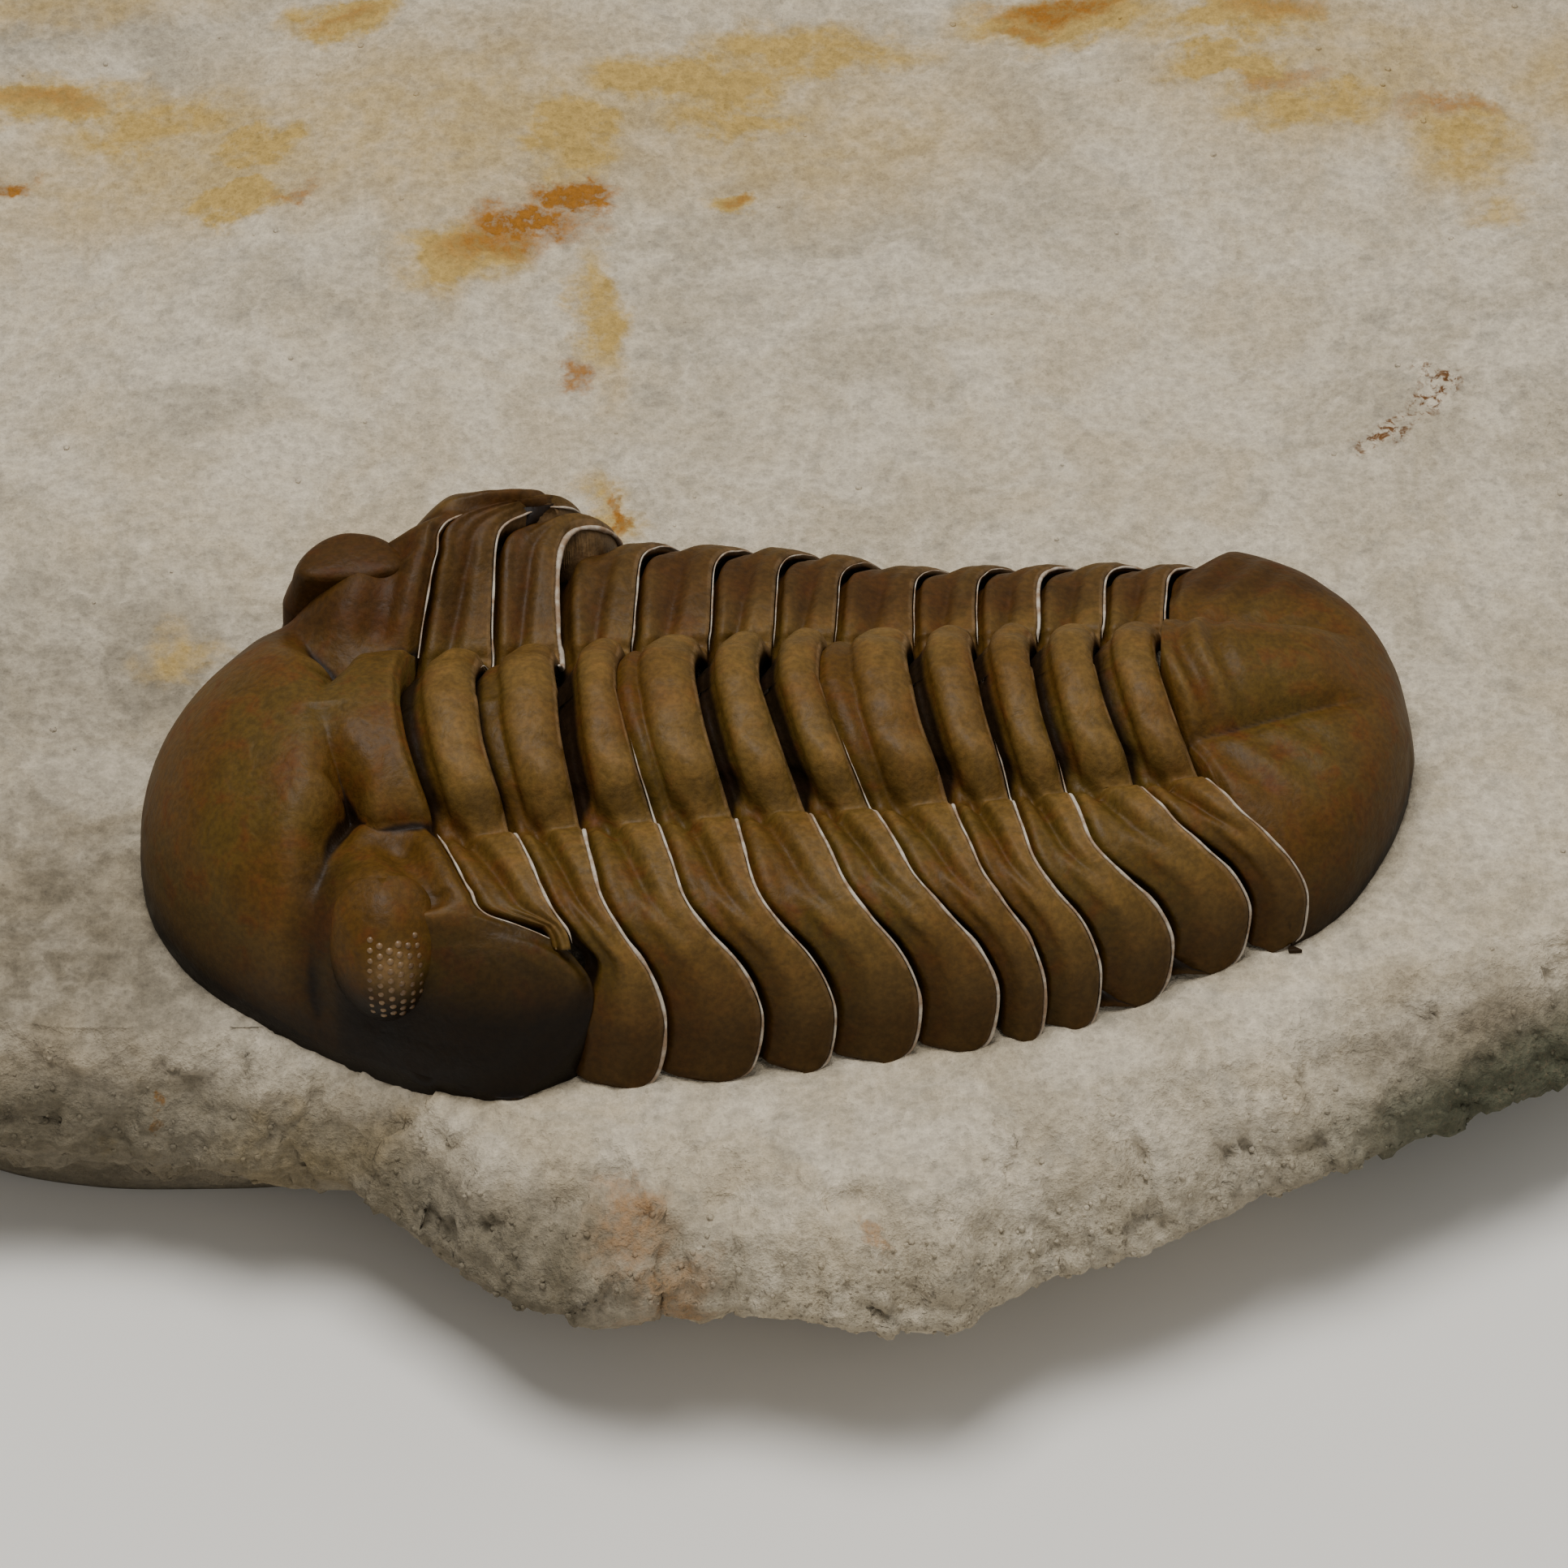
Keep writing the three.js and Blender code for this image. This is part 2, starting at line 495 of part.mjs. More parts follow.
// one eye: a bean-shaped turret with a steep outer wall and a low domed top
function eye(side) {
  const shell = new Shell();
  const count = 14;
  const up = side > 0 ? EYE.farUp : 0;
  const rings = EYE_RINGS.map(([z, scale, lean]) => Array.from({ length: count }, (_, i) => {
    const t = -2 * Math.PI * i / count;
    const u = Math.cos(t);
    const y = EYE.y + lean + EYE.ry * scale * Math.sin(t) - EYE.bend * u * u;
    return shell.add(EYE.x + EYE.rx * scale * u, y, z > -1 ? z + up : z);
  }));
  for (let r = 0; r + 1 < rings.length; r++) shell.band(rings[r], rings[r + 1]);
  shell.fan(shell.add(EYE.x, EYE.y + 0.2, EYE.foot), rings[0]);
  shell.fan(shell.add(EYE.x, EYE.y - 0.15, EYE.top + up), [...rings[rings.length - 1]].reverse());
  const solid = shell.solid();
  return side > 0 ? solid : solid.mirror([0, 1, 0]);
}
const HEAD_YS = [
  0.8, 1.6, 2.3, 2.75, 3.05, 3.6, 4.2, 4.7, 5.2, 5.7, 6.1, 6.4, 6.7, 7.0, 7.35, 7.7, 8.0, 8.28,
];
const HEAD_ROWS = [
  0, 0.008, 0.04, 0.10, 0.19, 0.31, 0.44, 0.56, 0.66, 0.73, 0.775, 0.81, 0.835, 0.858, 0.88, 0.91, 0.955, 1,
];
function cephalon() {
  const ys = [...[...HEAD_YS].reverse().map((y) => -y), 0, ...HEAD_YS];
  return heightSolid(ys, HEAD_ROWS, headFront, headRear, headHeight).add(eye(-1)).add(eye(1));
}
// the room of one genal angle, a prism that is cut from segments 1 and 2
const GENAL_ROOM = [
  [-1, 6.0], [1.3, 5.62], [1.9, 5.66], [2.7, 5.95], [3.72, 6.28], [4.26, 6.62], [4.56, 7.1], [4.62, 7.7],
  [4.4, 8.15], [3.9, 8.8], [-1, 8.8],
];
function genalRoom(side) {
  const corner = ([x, y]) => new THREE.Vector2(x + genalBack(side * y), side * y + genalOut(side * y));
  const plan = new THREE.Shape(GENAL_ROOM.map(corner));
  const prism = new THREE.ExtrudeGeometry(plan, { depth: 9, bevelEnabled: false });
  prism.translate(0.04, -side * 0.03, -5);
  const shell = new Shell();
  const at = prism.attributes.position;
  for (let i = 0; i < at.count; i++) shell.add(at.getX(i), at.getY(i), at.getZ(i));
  for (let i = 0; i < at.count; i += 3) shell.tri(i, i + 1, i + 2);
  return shell.solid();
}

// Pygidium
const TAIL_HALF = [...TAIL_REAR].reverse().map(([d, x]) => [x, d]);

// place across the pygidium, measured from its midline
function tailSide(x, y) {
  return y - TAIL_MID[0] - TAIL_MID[1] * (x - 19);
}
// the same as a distance that the outline of either side is drawn to
function tailAcross(x, y) {
  const d = tailSide(x, y);
  return d > 0 ? d / TAIL_FAR : -d;
}
function tailRear(y) {
  let x = 23;
  for (let k = 0; k < 12; k++) x = table(TAIL_REAR, tailAcross(x, y))[1];
  return x;
}
function tailFront(y) {
  const w = Math.abs(y);
  const [far, mid, furrow, flank] = SHIFT[11];
  let shift = mix(mid, far, clamp(w / 4, 0, 1));
  if (y < 0) shift = w < 2.3 ? mix(mid, furrow, w / 2.3) : mix(furrow, flank, clamp((w - 2.3) / 3, 0, 1));
  return TAIL_START + shift + table(TAIL_FRONT, w)[1];
}
function tailHeight(x, y) {
  const w = Math.abs(tailSide(x, y));
  const along = clamp((x - 19) / 6.35, 0, 1);
  const rho = clamp((x - 18) / (TAIL_END - 18), 0, 1);
  const across = Math.min(1, tailAcross(x, y) / Math.max(0.2, table(TAIL_HALF, x)[1]));
  // pleural field: a vault that falls to the margin
  const edge = groundZ(x) + 0.55;
  const crown = -0.02 - 0.62 * along;
  let z = edge + (crown - edge) * (1 - across ** 4.2) ** 0.55 * (1 - rho ** 10) ** 0.55;
  // tapering axis between its furrows, with rings that fade to the rear
  const half = mix(2.15, 0.95, along);
  const height = mix(1.15, 0.55, along) * (1 - smooth(0.72, 0.92, along));
  z -= 0.16 * hill(w, half + 0.05, 0.24) * (1 - smooth(0.7, 0.9, along));
  if (w < half) {
    const ring = Math.cos(2 * Math.PI * (x - 0.10 * w * w - 19.15) / (0.80 - 0.22 * along));
    z += height * Math.sqrt(1 - (w / half) ** 2);
    z += 0.10 * ring * (1 - smooth(0.45, 0.85, along)) * (1 - (w / half) ** 6);
  } else {
    const rib = Math.cos(2 * Math.PI * (x - 19.2 - 0.42 * (w - half)) / 1.25);
    const fade = (1 - smooth(0.62, 0.92, across)) * (1 - smooth(0.6, 0.95, along));
    z += 0.07 * rib * smooth(0, 0.8, w - half) * fade;
  }
  return Math.max(z, groundZ(x) + 0.4);
}
const TAIL_YS = [
  -5.75, -5.5, -5.1, -4.6, -3.9, -3.2, -2.5, -1.9, -1.5, -1.0, -0.5, 0, 0.5,
  1.0, 1.6, 2.2, 2.8, 3.4, 4.2, 5.0, 5.7, 6.3, 6.7, 7.0, 7.15,
];
const TAIL_ROWS = [0, 0.06, 0.14, 0.22, 0.30, 0.38, 0.46, 0.54, 0.62, 0.70, 0.78, 0.86, 0.92, 0.965, 0.99, 1];

// Assembly
const model = new THREE.Group();
model.name = 'kainops_trilobite';

function put(name, solid, material) {
  const geometry = toGeometry(solid);
  geometry.translate(...BODY_AT);
  geometry.computeVertexNormals();
  const mesh = new THREE.Mesh(geometry, material);
  mesh.name = name;
  model.add(mesh);
}
const limestone = () => new THREE.MeshStandardMaterial({ color: 0xc9bfae, roughness: 0.95, metalness: 0 });
const exoskeleton = (color) => new THREE.MeshStandardMaterial({ color, roughness: 0.5, metalness: 0 });

const mound = moundCutter();
put('matrix_rock', stone(), limestone());
put('cephalon', cephalon().subtract(mound).asOriginal().simplify(0.012), exoskeleton(0x5a4326));
for (let i = 1; i <= 11; i++) {
  let body = segment(i);
  if (i <= 2) body = body.subtract(genalRoom(-1)).subtract(genalRoom(1)).asOriginal().simplify(0.006);
  put(`thoracic_segment_${String(i).padStart(2, '0')}`, body, exoskeleton(i % 2 ? 0x6a5233 : 0x745a38));
}
const tail = heightSolid(TAIL_YS, TAIL_ROWS, tailFront, tailRear, tailHeight);
put('pygidium', tail.subtract(mound), exoskeleton(0x6e5432));

export default model;
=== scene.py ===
"""A trilobite on its slab of limestone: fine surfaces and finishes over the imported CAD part.

Lengths in the values below are in millimetres and in coordinates of the animal's own:
x = 0 at the rear edge of the occipital ring, +x to the tail, y = 0 on the midline with
the far side at +y, and z = 0 at the level of the furrows beside the axis.
"""

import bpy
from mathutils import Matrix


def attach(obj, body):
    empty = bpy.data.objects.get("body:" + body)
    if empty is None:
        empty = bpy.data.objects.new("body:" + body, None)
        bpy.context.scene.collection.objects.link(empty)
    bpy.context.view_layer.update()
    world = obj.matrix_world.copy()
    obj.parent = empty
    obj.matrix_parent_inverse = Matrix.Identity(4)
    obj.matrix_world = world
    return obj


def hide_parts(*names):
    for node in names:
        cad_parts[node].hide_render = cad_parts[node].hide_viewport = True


bl_info = {
    "name": "Trilobite on limestone",
    "version": (1, 0, 0),
    "blender": (4, 5, 0),
    "location": "View3D > Sidebar > Trilobite",
    "description": "Builds the fine surfaces and finishes of a fossil trilobite over its CAD part",
    "category": "Object",
}

import itertools
import math

import bpy
import numpy as np
from bpy.props import FloatProperty, FloatVectorProperty, IntProperty, PointerProperty
from bpy.types import Operator, Panel, PropertyGroup
from mathutils import Vector

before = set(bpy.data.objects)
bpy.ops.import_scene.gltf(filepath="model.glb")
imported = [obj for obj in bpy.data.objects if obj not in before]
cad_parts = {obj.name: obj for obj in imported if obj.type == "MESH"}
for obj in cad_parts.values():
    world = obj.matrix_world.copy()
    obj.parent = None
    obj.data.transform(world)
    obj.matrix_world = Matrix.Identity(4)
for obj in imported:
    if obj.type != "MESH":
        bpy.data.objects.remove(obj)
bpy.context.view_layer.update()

# a millimetre in metres
MM = 0.001
# half size of the floor, how far off the lights are, and how far the picture's middle lies to the right
# of the body point and below it, all in metres
FLOOR = 3.0
LIGHT_AWAY = 0.30
FRAME_RIGHT, FRAME_DOWN = 0.009506, 0.000960
# seed of the sizes of the grains; their places have the panel's own seed
GRAIN_SIZE_SEED = 3

# Shape of the animal, as in the part's source but for small changes to its looks
BODY_AT = np.array((-10.031, -10.968, 11.0))
BASE_Z = -BODY_AT[2]
# open joint between two plates, and the wide one in front of segment 3 on the far side
GAP = 0.22
WIDE_GAP = 0.42
# rear edge of each ring on the midline, from the occipital ring on
RING_REAR = (0, 1.89, 3.92, 5.37, 7.47, 9.03, 10.6, 12.8, 14.56, 16.06, 17.54, 19.1)
TAIL_END = 25.42
# how far each rear edge is moved back: at the far flank, the midline, the near furrow and the near flank
SHIFT = (
    (0.00, 0.00, 0.00, 0.00), (0.00, 0.00, 0.00, 0.35), (-0.45, 0.00, -0.30, -0.45),
    (0.10, 0.00, 0.10, 0.05), (-0.08, -0.12, -0.08, -0.25), (0.00, -0.08, 0.20, 0.42),
    (0.00, -0.16, 0.20, 0.65), (-0.32, -0.10, 0.00, 0.00), (-0.45, -0.22, -0.22, -0.42),
    (-0.42, -0.28, -0.33, -0.35), (-0.20, -0.20, -0.05, 0.40), (-0.22, -0.18, 0.00, 0.50),
)
# how far each rear edge is moved back at the near tip
TIP_SHIFT = (0, 0, -0.25, 0.25, 0.22, 0.10, 0.22, -0.20, -0.08, 0.28, 0.05, -0.15)
# how high the far flank of each plate stands at its rear edge, and at its front edge
FAR_RAISE = (3.1, 2.35, 1.6, 0.4, 0.1, 0, 0, 0, 0, 0, 0, 0)
FAR_START = (0, 3.05, 2.1, 0.5, 0.35, 0.1, 0, 0, 0, 0, 0, 0)
# calcite behind each plate: width near and far, and the stations where the near and the far line start
SEAMS = (
    (0.7, 0.5, 3.1, 1.6), (0.8, 0.6, 3.1, 1.5), (1.1, 1.7, 3.1, 1.8), (0.8, 0.5, 1.2, 3.1),
    (0.8, 0.45, 3.1, 3.1), (0.9, 0.35, 3.1, 3.1), (0.9, 0.25, 1.4, 3.1), (0.9, 0.3, 3.1, 3.1),
    (0.8, 0.35, 1.6, 3.1), (0.9, 1.0, 2.2, 3.1), (0.7, 0.7, 3.1, 3.1), (0.7, 0.6, 3.1, 3.1),
)
# points along each of those lines
SEAM_POINTS = 170
# how far back the far tip of segment 1 is swept
FAR_SWEEP = 0.72
# stations from the midline to the tip: y, z and how far back each is swept
ARCH = np.array((
    (0.00, 1.65, 0.00), (1.15, 1.42, 0.09), (2.10, 0.80, 0.30), (2.72, -0.10, 0.52), (3.15, 0.10, 0.60),
    (4.30, 0.20, 0.75), (5.60, 0.02, 0.98), (6.45, -0.46, 1.50), (7.00, -1.25, 2.15),
    (7.50, -2.30, 2.60), (7.85, -3.15, 2.68), (8.02, -3.75, 2.66),
))
# stations of the furrow beside the axis and of the tip
FURROW = 3
TIP = len(ARCH) - 1
# by x: half width and height of the axis, half width in all, depth of the tips, level of the furrow
ALONG = (
    (-2, 2.80, 1.70, 8.15, 3.92, 0.00), (4, 2.78, 1.70, 8.25, 3.92, 0.00),
    (8, 2.76, 1.66, 8.10, 3.86, -0.04), (12, 2.72, 1.62, 7.90, 3.58, -0.20),
    (16, 2.60, 1.54, 7.55, 3.27, -0.34), (19, 2.38, 1.44, 7.15, 3.19, -0.34),
    (26, 1.90, 1.20, 6.40, 3.00, -0.40),
)
# depth of the groove in front of each ring
GROOVE = (0.50, 0.55, 0.40, 0.70, 0.26, 0.68, 0.72, 0.25, 0.66, 0.60, 0.56, 0.50)
# rear edge of the glabella: distance from the midline, and x
DOME_REAR = (
    (0.0, -1.95), (0.9, -1.88), (1.6, -1.66), (2.15, -1.50), (2.7, -1.72), (3.2, -2.02), (3.8, -2.24),
    (4.5, -2.46), (5.2, -2.66), (5.8, -2.66), (6.4, -2.30), (8.3, -1.6),
)
# depth of the furrow behind the glabella, by distance from the midline
DOME_FURROW = (
    (0, 0.16), (1, 0.17), (1.7, 0.30), (2.2, 0.46), (3, 0.36), (4.5, 0.40), (5.6, 0.32), (6.4, 0.1),
    (8.3, 0),
)
# x of the point that the glabella falls away from
DOME_AT = -1.5
# height of the cheek by its share of the way out to the margin
CHEEK = (
    (0, 0.10), (0.40, 0.10), (0.60, 0.06), (0.70, -0.08), (0.78, -0.42), (0.85, -1.05), (0.91, -1.95),
    (0.955, -2.80), (0.985, -3.40), (1.0, -3.90),
)
# front margin of the head: distance from the midline, and x
HEAD_FRONT = (
    (0, -6.7), (1, -6.62), (2, -6.36), (3, -5.88), (4, -5.16), (4.6, -4.58), (5.41, -3.62),
    (6.45, -2.05), (7.2, -0.82), (7.75, 0.22), (8.1, 1.15), (8.25, 1.72), (8.3, 2.0),
)
# rear edge of the head: distance from the midline, and x
HEAD_REAR = (
    (0, 0), (1.15, 0.09), (2.1, 0.30), (2.75, 0.52), (3.15, 0.62), (4.3, 0.95), (5.2, 1.25),
    (5.8, 1.62), (6.1, 2.40), (6.45, 3.35), (6.8, 3.90), (7.15, 4.12), (7.45, 4.02), (7.75, 3.66),
    (8.0, 3.08), (8.18, 2.5), (8.3, 2.12),
)
# half width of the head by x
HEAD_HALF = tuple((x, y) for y, x in HEAD_FRONT)
# how much further back and out the far genal angle lies
GENAL_FAR = 0.45
GENAL_OUT = 0.40
# middle, half length and half width of an eye, and how much higher and longer the far one is
EYE_X = -0.85
EYE_Y = 5.72
EYE_LONG = 1.32
EYE_WIDE = 0.84
EYE_FAR_UP = 0.72
EYE_FAR_GROW = 1.14
# section of the eyes: z, share of the width, and how far outward it leans
EYE_NEAR = (
    (-2.6, 0.80, 0.34), (-2.2, 0.92, 0.42), (-1.8, 1.00, 0.44), (-1.3, 1.04, 0.38), (-0.7, 1.02, 0.24),
    (-0.2, 0.95, 0.05), (0.10, 0.86, -0.10), (0.30, 0.74, -0.20), (0.45, 0.60, -0.28),
    (0.56, 0.44, -0.34), (0.62, 0.30, -0.36), (0.66, 0.12, -0.37),
)
EYE_FAR = (
    (-2.6, 1.30, 0.10), (-1.8, 1.28, 0.10), (-1.3, 1.24, 0.10), (-0.7, 1.13, 0.08), (-0.2, 1.02, 0.00),
    (0.10, 0.98, -0.06), (0.30, 0.95, -0.10), (0.45, 0.90, -0.14), (0.56, 0.80, -0.16),
    (0.62, 0.64, -0.17), (0.66, 0.34, -0.18),
)
# rear margin of the tail: distance from the tail's own midline, and x
TAIL_REAR = (
    (0, 25.76), (1.15, 25.66), (2.19, 25.35), (3.35, 24.8), (4.5, 24.05), (5.47, 23.3), (6.0, 22.8),
    (6.45, 22.3), (6.95, 21.6),
)
# half width of the tail by x
TAIL_HALF = tuple((x, d) for d, x in reversed(TAIL_REAR))
# where the tail starts and how long it is; its midline's y there, and its slope
TAIL_X = 19
TAIL_LONG = 6.35
TAIL_MID = (0.30, 0.135)
# front edge of the tail: distance from the midline, and how far back it is swept
TAIL_FRONT = (
    (0, 0), (1.0, 0.09), (1.8, 0.30), (2.3, 0.52), (2.8, 0.60), (3.8, 0.80), (4.9, 1.20), (5.4, 1.71),
    (5.9, 2.31), (6.4, 2.81), (6.8, 3.06),
)
# the far half of the tail is narrower by this share
TAIL_FAR = 0.985
# plan of the mound under the animal: half ovals under head and tail, and a strip between
MOUND = {
    "head_x": 2.0, "head_a": 6.9, "head_w": 7.35, "neck_w": 7.0,
    "tail_x": 18.6, "tail_a": 5.5, "tail_w": 5.7,
}
# broken outline of the slab
STONE = (
    (-18.4, 5.5), (-17.6, -0.2), (-15.6, -4.0), (-12.6, -6.0), (-9.0, -7.1), (-6.6, -7.7), (-4.0, -8.7),
    (-1.6, -10.4), (0.4, -12.6), (3.5, -14.1), (6.7, -14.7), (9.7, -15.5), (12.3, -15.4), (14.9, -14.3),
    (18.1, -13.0), (21.3, -11.6), (24.4, -10.2), (28.5, -8.1), (32.6, -6.0), (36.0, -2.6), (37.8, 3.0),
    (38.4, 10.0), (38.8, 17.5), (38.2, 25.0), (35.5, 31.5), (28.5, 35.4), (19.5, 36.6), (10.0, 37.0),
    (1.0, 36.4), (-7.5, 35.1), (-14.0, 31.4), (-17.6, 24.0), (-18.8, 14.5),
)
# how far in from the outline the slab starts to round over
SHOULDER = 3.2
# the broken edge in steps from the top: how far in, as a share of the shoulder, and how far down
EDGE_INSET = (
    (0, 1.0), (1, 0.75), (2, 0.41), (3, 0.14), (4, 0.0), (5, -0.28), (6, -0.75), (7, -1.34),
)
EDGE_DROP = ((0, 0.0), (1, -0.28), (2, -0.95), (3, -1.9), (4, -2.7), (5, -3.7), (6, -4.8))
# spots on the slab lie at this level, and this much nearer than their y says
SPOT_Z = -4.1
SPOT_DROP = 0.48
# iron stains: x, y, length, width and strength
STAINS = (
    (4.9, 23.4, 1.6, 0.7, 0.9), (6.4, 24.4, 1.2, 0.5, 1.0), (3.8, 22.7, 1.3, 0.7, 0.6),
    (-8.9, 27.2, 0.6, 0.4, 0.8), (-7.9, 30.2, 1.6, 0.5, 0.4), (20.3, 30.8, 1.8, 0.6, 0.7),
    (19.3, 29.9, 0.9, 0.3, 0.5), (26.3, 29.6, 1.4, 0.5, 0.4), (30.4, 25.1, 1.1, 0.4, 0.5),
    (6.3, 12.3, 0.2, 0.8, 0.7), (5.7, 17.6, 0.3, 0.5, 0.6), (4.6, -11.4, 1.0, 0.6, 0.4),
    (5.5, -12.6, 0.8, 0.6, 0.4), (4.0, -10.8, 0.5, 0.4, 0.3), (-8.6, -6.5, 0.5, 0.2, 0.7),
    (-5.6, -7.7, 0.2, 0.2, 1.0), (-6.5, -6.0, 0.15, 0.2, 0.8), (10.2, -12.4, 0.4, 0.2, 0.4),
    (-1.2, 25.1, 0.7, 0.3, 0.5), (10.8, 23.9, 0.5, 0.3, 0.5), (25.9, 26.8, 0.9, 0.3, 0.4),
    (0.6, 32.2, 0.7, 0.3, 0.4), (15.0, 36.0, 2.0, 0.6, 0.5),
)
# paler washes round them, in the same way
WASHES = (
    (-7.9, 30.0, 2.7, 1.0, 0.8), (-4.8, 28.8, 3.4, 1.2, 0.6), (-2.0, 27.3, 1.3, 0.9, 0.7),
    (-2.8, 25.3, 1.3, 0.8, 0.8), (0.6, 32.1, 1.4, 0.9, 0.85), (2.8, 22.3, 1.7, 1.3, 0.8),
    (6.3, 26.5, 1.3, 1.7, 0.75), (9.9, 28.7, 2.9, 1.2, 0.8), (11.0, 27.2, 2.7, 0.7, 0.6),
    (13.5, 29.7, 3.4, 1.0, 0.65), (10.6, 23.8, 0.9, 0.5, 0.8), (6.5, 19.8, 0.6, 2.6, 0.65),
    (20.4, 30.3, 3.0, 1.2, 0.8), (24.9, 29.3, 3.0, 1.0, 0.7), (24.6, 27.5, 1.9, 0.9, 0.8),
    (26.9, 25.7, 2.9, 1.0, 0.65), (30.9, 23.7, 2.0, 2.0, 0.6), (31.4, 21.0, 1.1, 0.7, 0.5),
    (3.2, 27.5, 6.7, 3.8, 0.4), (13.1, 26.4, 5.8, 3.1, 0.35), (-3.8, 26.9, 5.8, 2.4, 0.4),
    (28.0, 26.9, 5.9, 3.1, 0.35), (34.4, 26.3, 2.7, 2.0, 0.4), (-6.8, 34.1, 4.6, 1.1, 0.4),
    (-9.1, -6.4, 1.2, 0.5, 0.6), (-5.3, 8.5, 0.9, 0.8, 0.5), (-4.7, -7.6, 4.0, 0.8, 0.3),
    (6.1, 12.2, 0.6, 1.4, 0.7), (12.0, 35.5, 9.0, 1.6, 0.4),
)
# painted shade: darker patches on the left and on the broken sides of the slab, in the same way
SHADES = (
    (-8.8, -0.9, 3.8, 5.5, 0.8), (-7.0, 7.6, 4.0, 3.0, 0.5), (-6.0, -10.0, 6.4, 2.6, 1.0),
    (0.5, -13.0, 4.8, 3.0, 1.0), (-10.5, -6.8, 4.4, 2.4, 1.0), (-3.0, -12.0, 4.0, 2.4, 1.0),
    (28.5, -8.2, 5.5, 2.0, 0.9), (22.5, -11.2, 4.0, 1.4, 0.5),
)
# specks of the short crack: x, y and radius; all at one level
CRACK = (
    (26.85, 12.0, 0.34), (27.15, 12.4, 0.30), (27.5, 12.8, 0.22), (27.75, 13.15, 0.34),
    (28.1, 13.6, 0.26), (28.5, 14.0, 0.36),
)
CRACK_Z = -4.0


# Functions of numbers
def mix(a, b, f):
    """The value a share f of the way from a to b."""
    return a + (b - a) * f


def smooth(a, b, x):
    """A soft step from 0 at a to 1 at b."""
    f = np.clip((x - a) / (b - a), 0, 1)
    return f * f * (3 - 2 * f)


def hill(x, at, width):
    """A bell curve of height 1."""
    return np.exp(-(((x - at) / width) ** 2))


def soft_max(a, b, k):
    """The larger of two values, with the crease between them rounded."""
    h = np.clip(0.5 + 0.5 * (a - b) / k, 0, 1)
    return mix(b, a, h) + k * h * (1 - h)


def curve(rows, x, column=1):
    """Smooth reading of a table by its first column."""
    rows = np.asarray(rows, float)
    at, value = rows[:, 0], rows[:, column]
    slope = np.gradient(value, at)
    x = np.clip(x, at[0], at[-1])
    i = np.clip(np.searchsorted(at, x, side="right") - 1, 0, len(at) - 2)
    h = at[i + 1] - at[i]
    t = (x - at[i]) / h
    rise = (2 * t**3 - 3 * t**2 + 1) * value[i] + (3 * t**2 - 2 * t**3) * value[i + 1]
    return rise + (t**3 - 2 * t**2 + t) * h * slope[i] + (t**3 - t**2) * h * slope[i + 1]


def scatter_value(ix, iy, iz, seed):
    """A random value from 0 to 1 at each point of a whole-number lattice."""
    mixed = (ix.astype(np.uint32) * np.uint32(374761393)) ^ (iy.astype(np.uint32) * np.uint32(668265263))
    mixed ^= (iz.astype(np.uint32) * np.uint32(2246822519)) ^ np.uint32(seed * 974634777 % 4294967296)
    mixed = (mixed ^ (mixed >> np.uint32(15))) * np.uint32(2246822519)
    mixed = (mixed ^ (mixed >> np.uint32(13))) * np.uint32(3266489917)
    return (mixed ^ (mixed >> np.uint32(16))) / 4294967296.0


def ripple(points, size, seed):
    """Smooth noise from -1 to 1 with lumps of the given size."""
    p = points / size
    cell = np.floor(p).astype(np.int64)
    f = p - cell
    f = f * f * (3 - 2 * f)
    total = 0
    for corner in range(8):
        step = np.array((corner & 1, corner >> 1 & 1, corner >> 2 & 1))
        weight = np.prod(np.where(step, f, 1 - f), axis=-1)
        at = cell + step
        total = total + weight * scatter_value(at[..., 0], at[..., 1], at[..., 2], seed)
    return 2 * total - 1


def grit(points, size, octaves, seed, fade=0.5):
    """Noise of several sizes, each half the last."""
    total, weight = 0, 1
    for octave in range(octaves):
        total = total + weight * ripple(points + 17.3 * octave, size / 2**octave, seed + octave)
        weight *= fade
    return total


def facets(points, size, seed):
    """Height of a broken face: flat chips, each tilted its own way."""
    p = points / size
    cell = np.floor(p).astype(np.int64)
    nearest = np.full(p.shape[:-1], 9.0)
    height = np.zeros(p.shape[:-1])
    for offset in itertools.product((-1, 0, 1), repeat=3):
        at = cell + offset
        parts = [scatter_value(at[..., 0], at[..., 1], at[..., 2], seed + k) for k in range(6)]
        away = p - at - np.stack(parts[:3], axis=-1)
        far = np.linalg.norm(away, axis=-1)
        tilt = (away * (np.stack(parts[3:], axis=-1) - 0.5)).sum(axis=-1)
        closer = far < nearest
        nearest = np.where(closer, far, nearest)
        height = np.where(closer, tilt, height)
    return height


